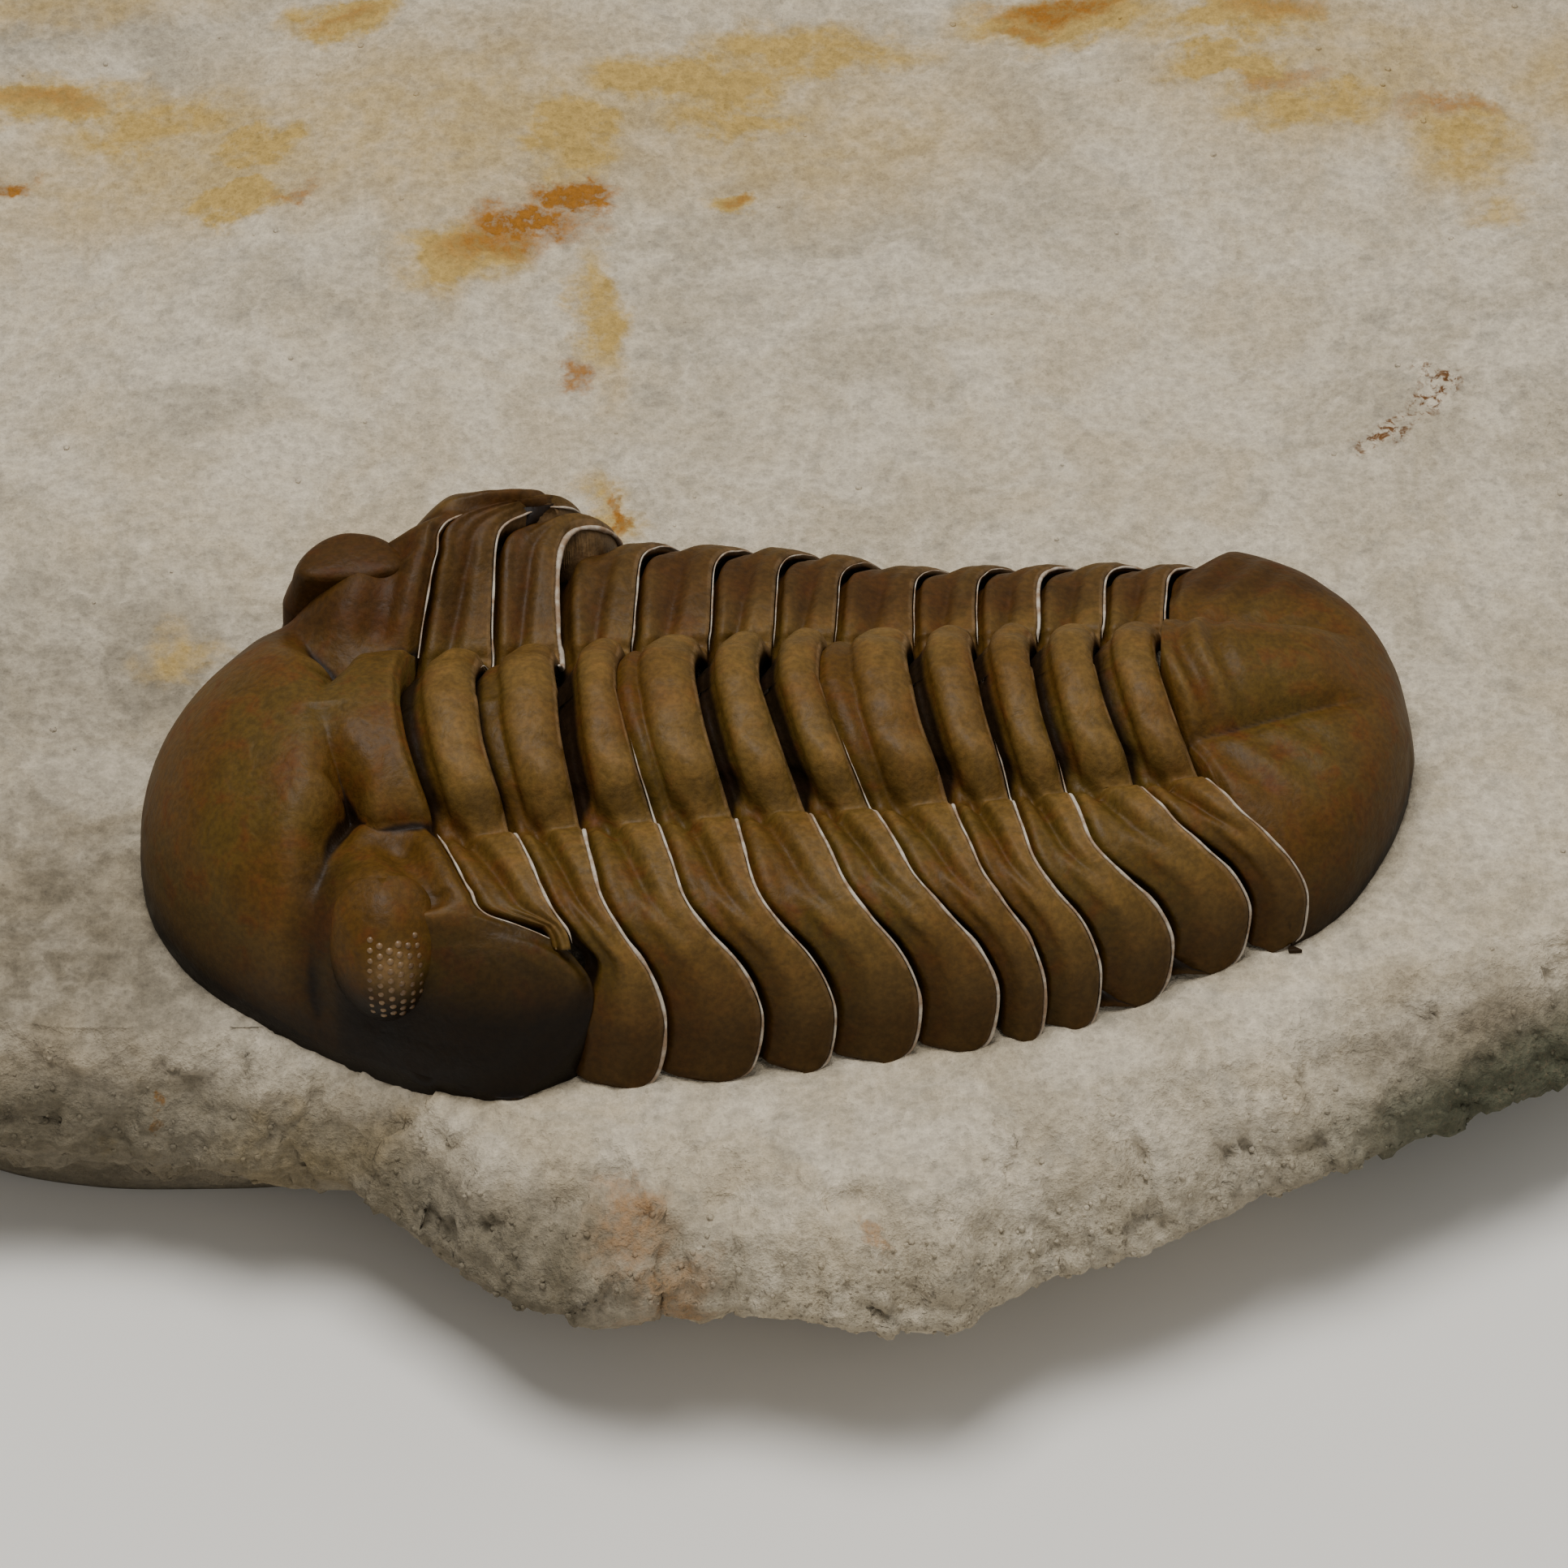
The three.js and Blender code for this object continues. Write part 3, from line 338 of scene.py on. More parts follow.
# Meshes
class Skin:
    """Points with named values, and the quads and triangles between them."""

    def __init__(self):
        self.points, self.quads, self.tris = [], [], []
        self.values = {}
        self.count = 0

    def add(self, points, **values):
        """Adds points and gives their numbers; a value that isn't given is 0."""
        points = np.asarray(points, float).reshape(-1, 3)
        first = self.count
        self.points.append(points)
        for name in set(self.values) | set(values):
            rows = self.values.setdefault(name, [np.zeros(first)] if first else [])
            rows.append(np.broadcast_to(np.ravel(values.get(name, 0.0)), (len(points),)))
        self.count += len(points)
        return np.arange(first, self.count)

    def band(self, a, b):
        """Quads between two closed lines of points of the same count."""
        a, b = np.append(a, a[0]), np.append(b, b[0])
        self.quads.append(np.stack((a[:-1], b[:-1], b[1:], a[1:]), axis=1))

    def fan(self, centre, ring):
        """Triangles from a point to a closed line."""
        nxt = np.roll(ring, -1)
        self.tris.append(np.stack((np.full(len(ring), centre), ring, nxt), axis=1))

    def cap(self, ring, **values):
        """Closes a line with a fan from its middle."""
        middle = np.concatenate(self.points)[ring].mean(axis=0)
        self.fan(self.add(middle, **values)[0], ring)

    def piece(self, name, material):
        """Makes the object, in metres and in the part's own frame."""
        mesh = bpy.data.meshes.new(name)
        points = (np.concatenate(self.points) + BODY_AT) * MM
        quads, tris = np.concatenate(self.quads), np.concatenate(self.tris)
        corners = np.concatenate((quads.ravel(), tris.ravel()))
        sizes = np.concatenate((np.full(len(quads), 4), np.full(len(tris), 3)))
        mesh.vertices.add(len(points))
        mesh.vertices.foreach_set("co", points.ravel())
        mesh.loops.add(len(corners))
        mesh.loops.foreach_set("vertex_index", corners.astype(np.int32))
        mesh.polygons.add(len(sizes))
        mesh.polygons.foreach_set("loop_start", (np.cumsum(sizes) - sizes).astype(np.int32))
        for label, rows in self.values.items():
            layer = mesh.attributes.new(label, "FLOAT", "POINT")
            layer.data.foreach_set("value", np.concatenate(rows).astype(np.float32))
        mesh.update(calc_edges=True)
        mesh.validate()
        mesh.shade_smooth()
        mesh.materials.append(material)
        obj = bpy.data.objects.new(name, mesh)
        bpy.context.collection.objects.link(obj)
        return obj


def settle(obj, slot, *nodes):
    """Fixes a finished piece to the one body and hides the CAD parts that it takes the place of."""
    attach(obj, "root")
    if nodes:
        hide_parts(*nodes)


def hollowness(z, reach):
    """How far each point of a grid lies under the mean of its neighbourhood."""
    blurred = z.copy()
    for axis in (0, 1):
        padded = np.moveaxis(blurred, axis, 0)
        total, weight = 0, 0
        for step in range(-reach, reach + 1):
            index = np.clip(np.arange(len(padded)) + step, 0, len(padded) - 1)
            w = math.exp(-2 * (step / reach) ** 2)
            total, weight = total + w * padded[index], weight + w
        blurred = np.moveaxis(total / weight, 0, axis)
    return z - blurred


# Stone under the animal
def ground_z(x):
    """Level of the stone beside the animal."""
    return mix(-4.28, -3.83, smooth(6, 24, x))


def mound_top(x):
    """Level of the mound's top under the axis."""
    return mix(-1.0, -1.25, smooth(14, 20, x))


def mound_width(x):
    """Half width of the mound's strip between the two half ovals."""
    along = np.clip((x - 4) / (MOUND["tail_x"] - 4), 0, 1)
    neck = mix(MOUND["neck_w"], MOUND["tail_w"], along)
    return neck + (MOUND["head_w"] - MOUND["neck_w"]) * (1 - smooth(2, 5, x))


def mound_z(x, y):
    """Height of the mound."""
    w = np.abs(y)
    rho = w / mound_width(x)
    head = np.hypot((x - MOUND["head_x"]) / MOUND["head_a"], w / MOUND["head_w"])
    tail = np.hypot((x - MOUND["tail_x"]) / MOUND["tail_a"], w / MOUND["tail_w"])
    rho = np.where(x < MOUND["head_x"], head, np.where(x > MOUND["tail_x"], tail, rho))
    return ground_z(x) + (mound_top(x) - ground_z(x)) * (1 - np.minimum(rho, 1) ** 3.4)


def mound_plan(rho, turn):
    """A point of the mound's plan, turn from 0 to 1 round it from the far side of the head."""
    head, side, tail = 0.32, 0.24, 0.20
    t_head = math.pi / 2 + math.pi * turn / head
    t_tail = -math.pi / 2 + math.pi * (turn - head - side) / tail
    x_near = mix(MOUND["head_x"], MOUND["tail_x"], (turn - head) / side)
    x_far = mix(MOUND["tail_x"], MOUND["head_x"], (turn - head - side - tail) / side)
    parts = (turn < head, turn < head + side, turn < head + side + tail)
    x = np.select(parts, (
        MOUND["head_x"] + rho * MOUND["head_a"] * np.cos(t_head), x_near,
        MOUND["tail_x"] + rho * MOUND["tail_a"] * np.cos(t_tail)), x_far)
    y = np.select(parts, (
        rho * MOUND["head_w"] * np.sin(t_head), -rho * mound_width(x_near),
        rho * MOUND["tail_w"] * np.sin(t_tail)), rho * mound_width(x_far))
    return x, y


def stone_top(x, y):
    """Height of the slab's upper side."""
    w = np.abs(y)
    slope = ground_z(x) + 0.03 * np.maximum(0, y - 9)
    slope = slope + 0.35 * np.sin(0.21 * x + 0.7) * smooth(9, 16, w)
    slope = slope + 0.25 * np.sin(0.33 * x - 0.27 * y + 1.3) * smooth(9, 15, w)
    return slope + 0.30 * smooth(-9, -15, x) - 0.4 * smooth(26, 35, x)


def stone_outline(turn):
    """The point of the broken outline that lies outward of each point of the mound's foot."""
    corners = np.array(STONE)
    count = len(corners)
    t = np.linspace(0, count, 4000, endpoint=False)
    i, f = t.astype(int), (t % 1)[:, None]
    a, b, c, d = (corners[(i + k) % count] for k in (-1, 0, 1, 2))
    bend, twist = 2 * a - 5 * b + 4 * c - d, 3 * b - a - 3 * c + d
    line = 0.5 * (2 * b + (c - a) * f + bend * f**2 + twist * f**3)
    angle = np.unwrap(np.arctan2(line[:, 1] - 4, line[:, 0] - 9))
    foot_x, foot_y = mound_plan(1, turn)
    way = np.arctan2((foot_y - 2) * 1.35, foot_x - 9)
    way = angle.min() + (way - angle.min()) % (2 * math.pi)
    order = np.argsort(angle)
    return np.interp(way, angle[order], line[order, 0]), np.interp(way, angle[order], line[order, 1])


# Thorax
def station(s, column):
    """A value of the arch at a station between its rows."""
    return curve(np.column_stack((np.arange(TIP + 1), ARCH[:, column])), s)


def lift(raised, y):
    """How much higher the far side stands at a distance from the midline."""
    return raised * smooth(2.9, 8.0, y)


def arch_point(x, s, raised):
    """Distance from the midline and height of a station at x."""
    axis, height, half, drop, level = (curve(ALONG, x, k) for k in range(1, 6))
    y0, z0 = station(s, 0), station(s, 1)
    furrow_y, tip_y = ARCH[FURROW, 0], ARCH[TIP, 0]
    inner_y, inner_z = y0 * axis / furrow_y, level + z0 * height / ARCH[0, 1]
    outer_y = mix(axis, half, (y0 - furrow_y) / (tip_y - furrow_y))
    outer_z = level - z0 * drop / ARCH[TIP, 1] + lift(raised, outer_y)
    return np.where(s <= FURROW, inner_y, outer_y), np.where(s <= FURROW, inner_z, outer_z)


def ring_shift(ring, s, side):
    """How far a ring's rear edge is moved back at each station."""
    far, mid, furrow, flank = SHIFT[ring]
    if side > 0:
        sweep = FAR_SWEEP * smooth(5.7, 7.0, station(s, 0)) if ring == 1 else 0
        return mix(mid, far, np.clip(s / 5, 0, 1)) + sweep
    near = mix(furrow, flank, smooth(0, 1, np.clip((s - FURROW) / 4, 0, 1)))
    return np.where(s <= FURROW, mix(mid, furrow, s / FURROW), near)


def head_rear(y):
    """x of the head's rear edge."""
    out = GENAL_OUT * smooth(5.2, 6.4, y) * (1 - smooth(7.2, 8.3, y))
    return curve(HEAD_REAR, np.abs(y) - out) + GENAL_FAR * smooth(5.6, 6.8, y)


def segment_span(i, s, side):
    """Front and rear edge of segment i at each station, before it is swept back."""
    back = station(s, 2)
    wobble = 0.035 * ripple(np.column_stack((s * 0.9, 0 * s + 3.1 * i, 0 * s + side)), 1.0, 5)
    if i == 1:
        joint_y, _ = arch_point(0.6 + 0 * s, s, 0)
        ahead = head_rear(side * joint_y) - back
    else:
        ahead = RING_REAR[i - 1] + ring_shift(i - 1, s, side)
    gap = mix(GAP, WIDE_GAP, smooth(-3, 4, side * s)) if i == 3 else GAP
    rear = RING_REAR[i] + ring_shift(i, s, side) + wobble
    if side < 0:
        rear = rear + TIP_SHIFT[i] * smooth(6.0, 9.5, s)
        ahead = ahead + TIP_SHIFT[i - 1] * smooth(6.0, 9.5, s)
    if i == 1 and side < 0:
        rear = rear - 0.55 * smooth(6.6, 8.0, s)
    if i == 11 and side < 0:
        rear = rear - 0.45 * smooth(TIP - 0.9, TIP - 0.2, s)
    front = np.minimum(ahead + gap - 0.05, rear - 0.45)
    if i == 2 and side < 0:
        front = front - 1.1 * smooth(7.4, 9.2, s)
    # the tip is a rounded lobe that leans forward under the one ahead
    t = np.clip((s - 8.0) / (TIP - 8.0), 0, 1)
    bend = 1 - np.sqrt(np.maximum(1 - t**2, 0))
    turn = smooth(0.72, 1.0, t)
    width = rear - front
    return front + width * (0.40 * turn - 0.55 * bend * (1 - turn)), rear - 0.60 * width * bend, back


def axis_height(f, length, groove):
    """Height over the arch of a ring's section: the half ring, the groove and the band."""
    start = 1 - np.clip(1.42 / length, 0.55, 0.80)
    q = np.clip((f - start) / (1 - start), 0, 1)
    band = -0.26 + 0.34 * (1 - np.abs(2 * q - 1) ** 2.4) ** 0.60
    climb = smooth(start - 0.26 / length, start + 0.08 / length, f)
    half_ring = -groove + 0.07 * hill(f, 0.10, 0.10) - 0.25 * smooth(0.02, -0.2, f)
    return mix(half_ring, band, climb)


def pleura_height(f, s, side):
    """Height over the arch of a pleura's section: two bands with an oblique furrow between."""
    outer = smooth(5.0, 7.6, s)
    cut = 0.30 + 0.085 * (s - FURROW)
    depth = 1.0 if side < 0 else 0.6
    inner_height = -0.10 + 0.07 * hill(f, 0.13, 0.10) - 0.17 * depth * hill(f, cut, 0.12)
    inner_height = inner_height + 0.15 * depth * smooth(cut, cut + 0.26, f)
    shingle = -0.27 + 0.34 * smooth(-0.10, 0.62, f) - 0.05 * smooth(0.80, 1.0, f)
    shingle = shingle - 0.09 * depth * hill(f, 0.30, 0.12) * (1 - smooth(7.0, 9.5, s))
    height = mix(inner_height, shingle, outer)
    return height - 0.30 * (1 - smooth(-0.10, 0.06, f))


def near_draw(x):
    """How much the near pleurae of the last segments are drawn in."""
    return 0.34 * smooth(12.0, 19.5, x)


def near_spread(y):
    """How far out the near end of a ring lies beyond the arch."""
    return 0.30 * smooth(0.6, 2.5, y) * (1 - smooth(3.2, 5.6, y))


def far_draw(x, y):
    """How much the far flank of the rear half is drawn in, and how much it sinks."""
    share = smooth(8.0, 12.5, x)
    return 0.11 * share * np.maximum(0, y - 2.0), 0.32 * share * smooth(1.8, 4.5, y)


def segment_section(i, s, side, f):
    """Points of the upper surface of segment i: stations s by shares of its length f."""
    front, rear, back = segment_span(i, s, side)
    length = rear - front
    raised = mix(FAR_START[i], FAR_RAISE[i], np.clip(f, 0, 1)) if side > 0 else 0 * f
    x = front[:, None] + f * length[:, None]
    s2 = np.broadcast_to(s[:, None], x.shape)
    y, z = arch_point(x, s2, raised)
    if side < 0:
        y = y - near_draw(x) * np.maximum(0, y - 2.6) + near_spread(y)
    else:
        inward, sunk = far_draw(x, y)
        y, z = y - inward, z - sunk
    z = z - (z - ground_z(x) - 0.05) * smooth(9.0, 11.0, s2) * (1 if FAR_START[i] < 1 or side < 0 else 0)
    dy, dz = np.gradient(y, axis=0), np.gradient(z, axis=0)
    size = np.maximum(np.hypot(dy, dz), 1e-9)
    pleural = smooth(2.35, 3.35, s2)
    axial = axis_height(f, np.maximum(length[:, None], 0.5), GROOVE[i])
    band = smooth(0.30, 0.60, f) * (1 - smooth(0.93, 1.0, f))
    node = 0.12 * hill(y, 2.30, 0.36) - 0.06 * hill(y, 1.62, 0.24)
    height = mix(axial + node * band, pleura_height(f, s2, side), pleural)
    edge = smooth(0.90, 0.985, f)
    height = height - 0.05 * smooth(0.96, 1.0, f) * pleural
    point = np.stack((x + back[:, None], y * side, z), axis=-1)
    for tall, size_of, seed in ((0.045, 1.3, 10), (0.022, 0.5, 11), (0.010, 0.22, 12)):
        height = height + tall * ripple(point, size_of, seed)
    height = height * np.clip((TIP - s2) / 0.5, 0.15, 1)
    normal_y, normal_z = -dz / size, dy / size
    spread = np.stack((x + back[:, None], side * (y + normal_y * height), z + normal_z * height), axis=-1)
    # rise lights the crests as painted highlight and darkens the grooves as painted shade; edge marks the
    # pale rim
    return spread, np.clip((height + 0.62) / 0.72, 0, 1), edge * np.ones_like(height), normal_y, normal_z


def head_slant(y):
    """Share of a length along x that counts across the head's rear edge."""
    step = 0.05
    rise = (head_rear(y + step) - head_rear(y - step)) / (2 * step)
    return 1 / np.sqrt(1 + rise**2)


def last_station(i, side):
    """Where a plate ends: the first one runs out against the head."""
    if i > 1:
        return TIP - 0.03
    return TIP - 1.5 if side > 0 else TIP - 3.8


def segment_skin(i):
    """The whole plate: two flanks that share the section on the midline."""
    skin = Skin()
    shares = (-0.30, -0.16), np.linspace(-0.04, 0.90, 34), (0.93, 0.955, 0.975, 0.99, 1.0)
    shares = np.concatenate(shares)
    under = np.array((1.0, 0.98, 0.9, 0.72, 0.5, 0.28, 0.05, -0.14, -0.28))
    every = np.concatenate((shares, under))
    count = len(shares)
    rings = []
    for side in (-1, 1):
        s = np.linspace(0, last_station(i, side), 104 if i > 1 else 76)
        front, rear, _ = segment_span(i, s, side)
        length = np.maximum(rear - front, 0.05)
        tuck = 1 - smooth(TIP - 1.2, TIP - 0.2, s)
        f = np.where(every < 0, every * np.minimum(1, 1.5 / length[:, None]) * tuck[:, None], every)
        top, rise, edge, ny, nz = segment_section(i, s, side, f)
        if side > 0 and FAR_START[i] > 0:
            top[..., 2] -= 0.35 * smooth(0.02, -0.14, f) * smooth(2.8, 4.0, s)[:, None]
        thick = mix(0.36, 0.22, smooth(2.5, 4.5, s)) * np.clip((TIP - s) / 0.6, 0.1, 1)
        low = np.stack((0 * ny, side * ny, nz), axis=-1) * thick[:, None, None]
        # the raised flank of the far side shows a thick rear wall where the next plate lies lower
        drop = FAR_RAISE[i] - FAR_START[i + 1] if i < 11 and side > 0 else 0
        step = drop * smooth(3.4, 5.6, s)
        if i == 1 and side > 0:
            step = np.maximum(step, 0.55 * smooth(3.0, 4.4, s))
        wall = np.maximum(0, step)[:, None] * smooth(0.55, 0.95, f[:, count:])
        low[:, count:] *= 1 + 1.5 * wall[..., None] / np.maximum(thick, 0.05)[:, None, None]
        body = np.concatenate((top[:, :count], top[:, count:] - low[:, count:]), axis=1)
        # the underside is painted near black as shade; the rows of a raised rear wall that shows keep a
        # middle tone and a pale rim
        rise[:, count:] = 0.0
        edge[:, count:] = 0.0
        shown = smooth(0.05, 0.35, step)[:, None]
        rise[:, count:count + 5] = 0.62 * shown
        edge[:, count:count + 5] = 0.9 * shown
        rings.append([skin.add(body[k], rise=rise[k], edge=edge[k]) for k in range(len(s))])
    near, far = rings
    for k in range(len(near) - 1):
        skin.band(near[k], near[k + 1])
        skin.band(far[k + 1], far[k])
    # the two sections on the midline are one
    for a, b in zip(near[0], far[0]):
        skin.quads = [np.where(q == b, a, q) for q in skin.quads]
    skin.cap(near[-1][::-1], rise=0.5, edge=0.3)
    skin.cap(far[-1], rise=0.5, edge=0.3)
    return skin


def rear_edge(i, s, side, sink=0.02):
    """The line along the rear edge of segment i, just under its surface."""
    top, _, _, ny, nz = segment_section(i, s, side, np.full((len(s), 1), 1.0))
    line = top[:, 0]
    return line - np.stack((0 * s, side * ny[:, 0] * sink, nz[:, 0] * sink), axis=-1)


# Cephalon
def head_front(y):
    """x of the head's front margin."""
    return curve(HEAD_FRONT, np.abs(y))


def cheek(x, w):
    """Height of the cheek, by its share of the way out to the margin."""
    return curve(CHEEK, np.minimum(1, w / np.maximum(0.1, curve(HEAD_HALF, x))))


def dome(x, w):
    """The glabella: falls from its top to the margin of the head along every line out from DOME_AT."""
    edge_y = np.linspace(0, 7.4, 80)
    edge_x = head_front(edge_y)
    reach = np.interp(np.arctan2(w, DOME_AT - x), np.arctan2(edge_y, DOME_AT - edge_x),
                      np.hypot(edge_y, DOME_AT - edge_x))
    rho = np.hypot(w, DOME_AT - x) / reach
    return -3.95 + 5.63 * np.maximum(0, 1 - rho**2.1) ** 0.42


def head_height(x, y):
    """Height of the head: cheeks, lobe of the occipital ring, glabella and furrows."""
    w = np.abs(y)
    behind = (head_rear(y) - x) * head_slant(y)
    ahead = curve(DOME_REAR, w) - x
    lobe_half = mix(1.75, 2.9, smooth(-1.9, -0.7, x))
    lobe = np.where(w < lobe_half, 1.68 * np.sqrt(np.maximum(0, 1 - (w / lobe_half) ** 2)), -9)
    z = soft_max(cheek(x, w), lobe, 0.45)
    # the cheek swells up to the eye, more so on the far side
    swell = smooth(np.where(y > 0, 2.4, 3.3), np.where(y > 0, 4.9, 5.4), w) * (1 - smooth(5.95, 6.45, w))
    z = z + np.where(y > 0, 1.15 * hill(x, EYE_X + 0.25, 1.5), 0.66 * hill(x, EYE_X, 1.35)) * swell
    border = 0.20 * (1 - smooth(0.35, 0.85, behind)) - 0.30 * hill(behind, 1.10, 0.45)
    z = z + border * smooth(2.9, 3.7, w) * (1 - smooth(5.4, 6.5, w))
    start = 1 - (1 - np.clip(ahead / 1.35, 0, 1)) ** 2.1
    brow = np.sqrt(np.maximum(0, 1 - (1 - np.clip(ahead / 1.15, 0, 1)) ** 2))
    round_off = mix(brow, start, smooth(1.6, 3.2, w))
    z = mix(z, dome(x, w), round_off)
    depth = curve(DOME_FURROW, w) * np.where(y > 0, 0.40, 1.0)
    z = z - depth * hill(ahead, -0.02, mix(0.42, 0.62, smooth(2.4, 3.6, w)))
    z = z - 0.22 * (1 - smooth(0, 0.24, behind)) * (1 - smooth(5.8, 6.6, w))
    z = z - 0.55 * (1 - smooth(0, 0.70, behind)) ** 2 * smooth(5.9, 6.9, w)
    raised = mix(0.45, FAR_RAISE[0], smooth(-0.9, 1.9, x))
    z = z + np.where(y > 0, lift(raised, w), 0)
    return np.maximum(z, ground_z(x) + 0.12)


def field_skin(ys, shares, front, rear, height, blur, relief, dark):
    """A closed shell over a plan: columns across y, rows from the front to the rear edge."""
    skin = Skin()
    y = ys[:, None] + 0 * shares[None]
    x = mix(front(ys)[:, None], rear(ys)[:, None], shares[None])
    z = height(x, y)
    # rise lights the crests as painted highlight and darkens the hollows as painted shade
    rise = np.clip(0.62 + hollowness(z, blur) * 2.6, 0, 1)
    point = np.stack((x, y, z), axis=-1)
    # painted shade from the dark function
    painted_shade = dark(point)
    z = z + relief(point)
    point[..., 2] = z
    top = [skin.add(point[c], rise=rise[c], dark=painted_shade[c]) for c in range(len(ys))]
    # the wall goes down under the margin, and a little inward; it is painted fully in shade
    middle = np.array((x.mean(), 0.0))
    foot = np.stack((x[:, [0, -1]], y[:, [0, -1]], ground_z(x[:, [0, -1]]) - 0.45), axis=-1)
    foot[..., :2] = middle + (foot[..., :2] - middle) * 0.985
    under = [skin.add(foot[c], rise=0.2, dark=1.0) for c in range(len(ys))]
    rings = [np.concatenate((top[c], under[c][::-1])) for c in range(len(ys))]
    for c in range(len(ys) - 1):
        skin.band(rings[c + 1], rings[c])
    skin.cap(rings[0][::-1], rise=0.5, dark=0.3)
    skin.cap(rings[-1], rise=0.5, dark=0.3)
    return skin


def head_skin():
    """The head over its plan, with closer columns at the sides."""
    columns, rows, half = 251, 190, 8.29
    bent = half * np.sin(np.linspace(-math.pi / 2, math.pi / 2, columns))
    ys = 0.5 * bent + 0.5 * np.linspace(-half, half, columns)
    t = np.linspace(0, 1, rows)
    shares = 0.5 * t**1.9 + 0.5 * t

    def relief(p):
        """Fine unevenness, and folds on the upper part."""
        fine = 0.014 * ripple(p, 0.45, 21) + 0.008 * ripple(p, 0.20, 22)
        folds = 0.03 * ripple(p * (1, 0.4, 1), 0.7, 24) * smooth(-1.0, 1.2, p[..., 2])
        return fine + 0.05 * ripple(p, 1.8, 23) + folds

    def dark(p):
        """Painted shade below and beside the near eye, in the creases and at the foot."""
        x, w, z = p[..., 0], -p[..., 1], p[..., 2]
        behind = (head_rear(-w) - x) * head_slant(-w)
        flank = 0.45 * smooth(0.6, -0.4, z) + 0.5 * smooth(-0.8, -2.4, z)
        flank = flank * smooth(4.8, 6.4, w) * smooth(-2.9, -1.9, x)
        valley = 0.62 * smooth(0.55, 1.15, behind) * smooth(4.3, 5.3, w) * smooth(-0.3, 0.6, x)
        crease = 0.55 * smooth(3.2, 4.2, w) * hill(x, curve(DOME_REAR, np.abs(w)) + 0.15, 0.55)
        foot = 0.75 * smooth(-2.4, -3.8, z)
        return np.clip(np.maximum.reduce((flank, valley, crease, foot)), 0, 1)

    return field_skin(ys, shares, head_front, head_rear, head_height, 7, relief, dark)


def eye_skin(side):
    """The eye: a lens wall that bulges outward and rounds over into the cheek."""
    skin = Skin()
    up = EYE_FAR_UP if side > 0 else 0.0
    grow = EYE_FAR_GROW if side > 0 else 1.0
    t = np.linspace(0, 2 * math.pi, 120, endpoint=False)
    levels = np.concatenate((np.linspace(-2.6, 0.0, 44), np.linspace(0.04, 0.66, 22)))
    profile = EYE_FAR if side > 0 else EYE_NEAR
    rings = []
    for z in levels:
        scale, lean = curve(profile, z, 1), curve(profile, z, 2)
        outward = np.maximum(0, np.sin(t))
        x = EYE_X + EYE_LONG * grow * scale * np.cos(t)
        y = EYE_Y + lean + EYE_WIDE * scale * np.sin(t) * (1 + 0.18 * outward) - 0.30 * np.cos(t) ** 2
        ring = np.stack((x, y, np.where(z > -1, z + up, z) + 0 * t), axis=-1)
        ring += 0.02 * ripple(ring, 0.5, 31)[:, None]
        rings.append(ring)
    rings = np.array(rings)
    rings[..., 1] *= side
    order = 1 if side < 0 else -1
    # painted shade on the lower part of each eye
    low = smooth(-0.6, -2.2, levels)
    # painted highlight on the outward face of the near eye, carried in its rise and edge values
    eye_highlight = hill(t, math.radians(86), math.radians(26))
    made = []
    for k, ring in enumerate(rings):
        rise = 0.60 + (0.40 * eye_highlight * hill(levels[k], -0.85, 0.75) if side < 0 else 0 * t)
        pale = 2.6 * (rise - 0.60)
        made.append(skin.add(ring[::order], rise=rise[::order], edge=pale[::order], dark=low[k]))
    for a, b in zip(made[:-1], made[1:]):
        skin.band(a, b)
    base = skin.add((EYE_X, side * EYE_Y, -2.6), rise=0.3, dark=1.0)[0]
    crown = skin.add((EYE_X, side * EYE_Y + side * profile[-1][2], 0.665 + up), rise=0.6)[0]
    skin.fan(base, made[0])
    skin.fan(crown, made[-1][::-1])
    return skin, rings, t, levels


# Pygidium
def tail_side(x, y):
    """Signed distance from the tail's midline."""
    return y - TAIL_MID[0] - TAIL_MID[1] * (x - TAIL_X)


def tail_across(x, y):
    """Distance from the tail's midline, with the near corner and the far side drawn in."""
    d = tail_side(x, y)
    near = -d * (1 + 0.13 * (1 - smooth(20.5, 24.5, x)))
    return np.where(d > 0, d / TAIL_FAR, near)


def tail_rear(y):
    """x of the tail's rear margin, found by steps because the midline slants."""
    x = 23.0 + 0 * y
    for _ in range(14):
        x = curve(TAIL_REAR, tail_across(x, y))
    return x


def tail_front(y):
    """x of the tail's front edge."""
    w = np.abs(y)
    far, mid, furrow, flank = SHIFT[11]
    near = np.where(w < 2.3, mix(mid, furrow, w / 2.3), mix(furrow, flank, np.clip((w - 2.3) / 3, 0, 1)))
    shift = np.where(y < 0, near, mix(mid, far, np.clip(w / 4, 0, 1)))
    return RING_REAR[11] + GAP - 0.06 + shift + curve(TAIL_FRONT, w)


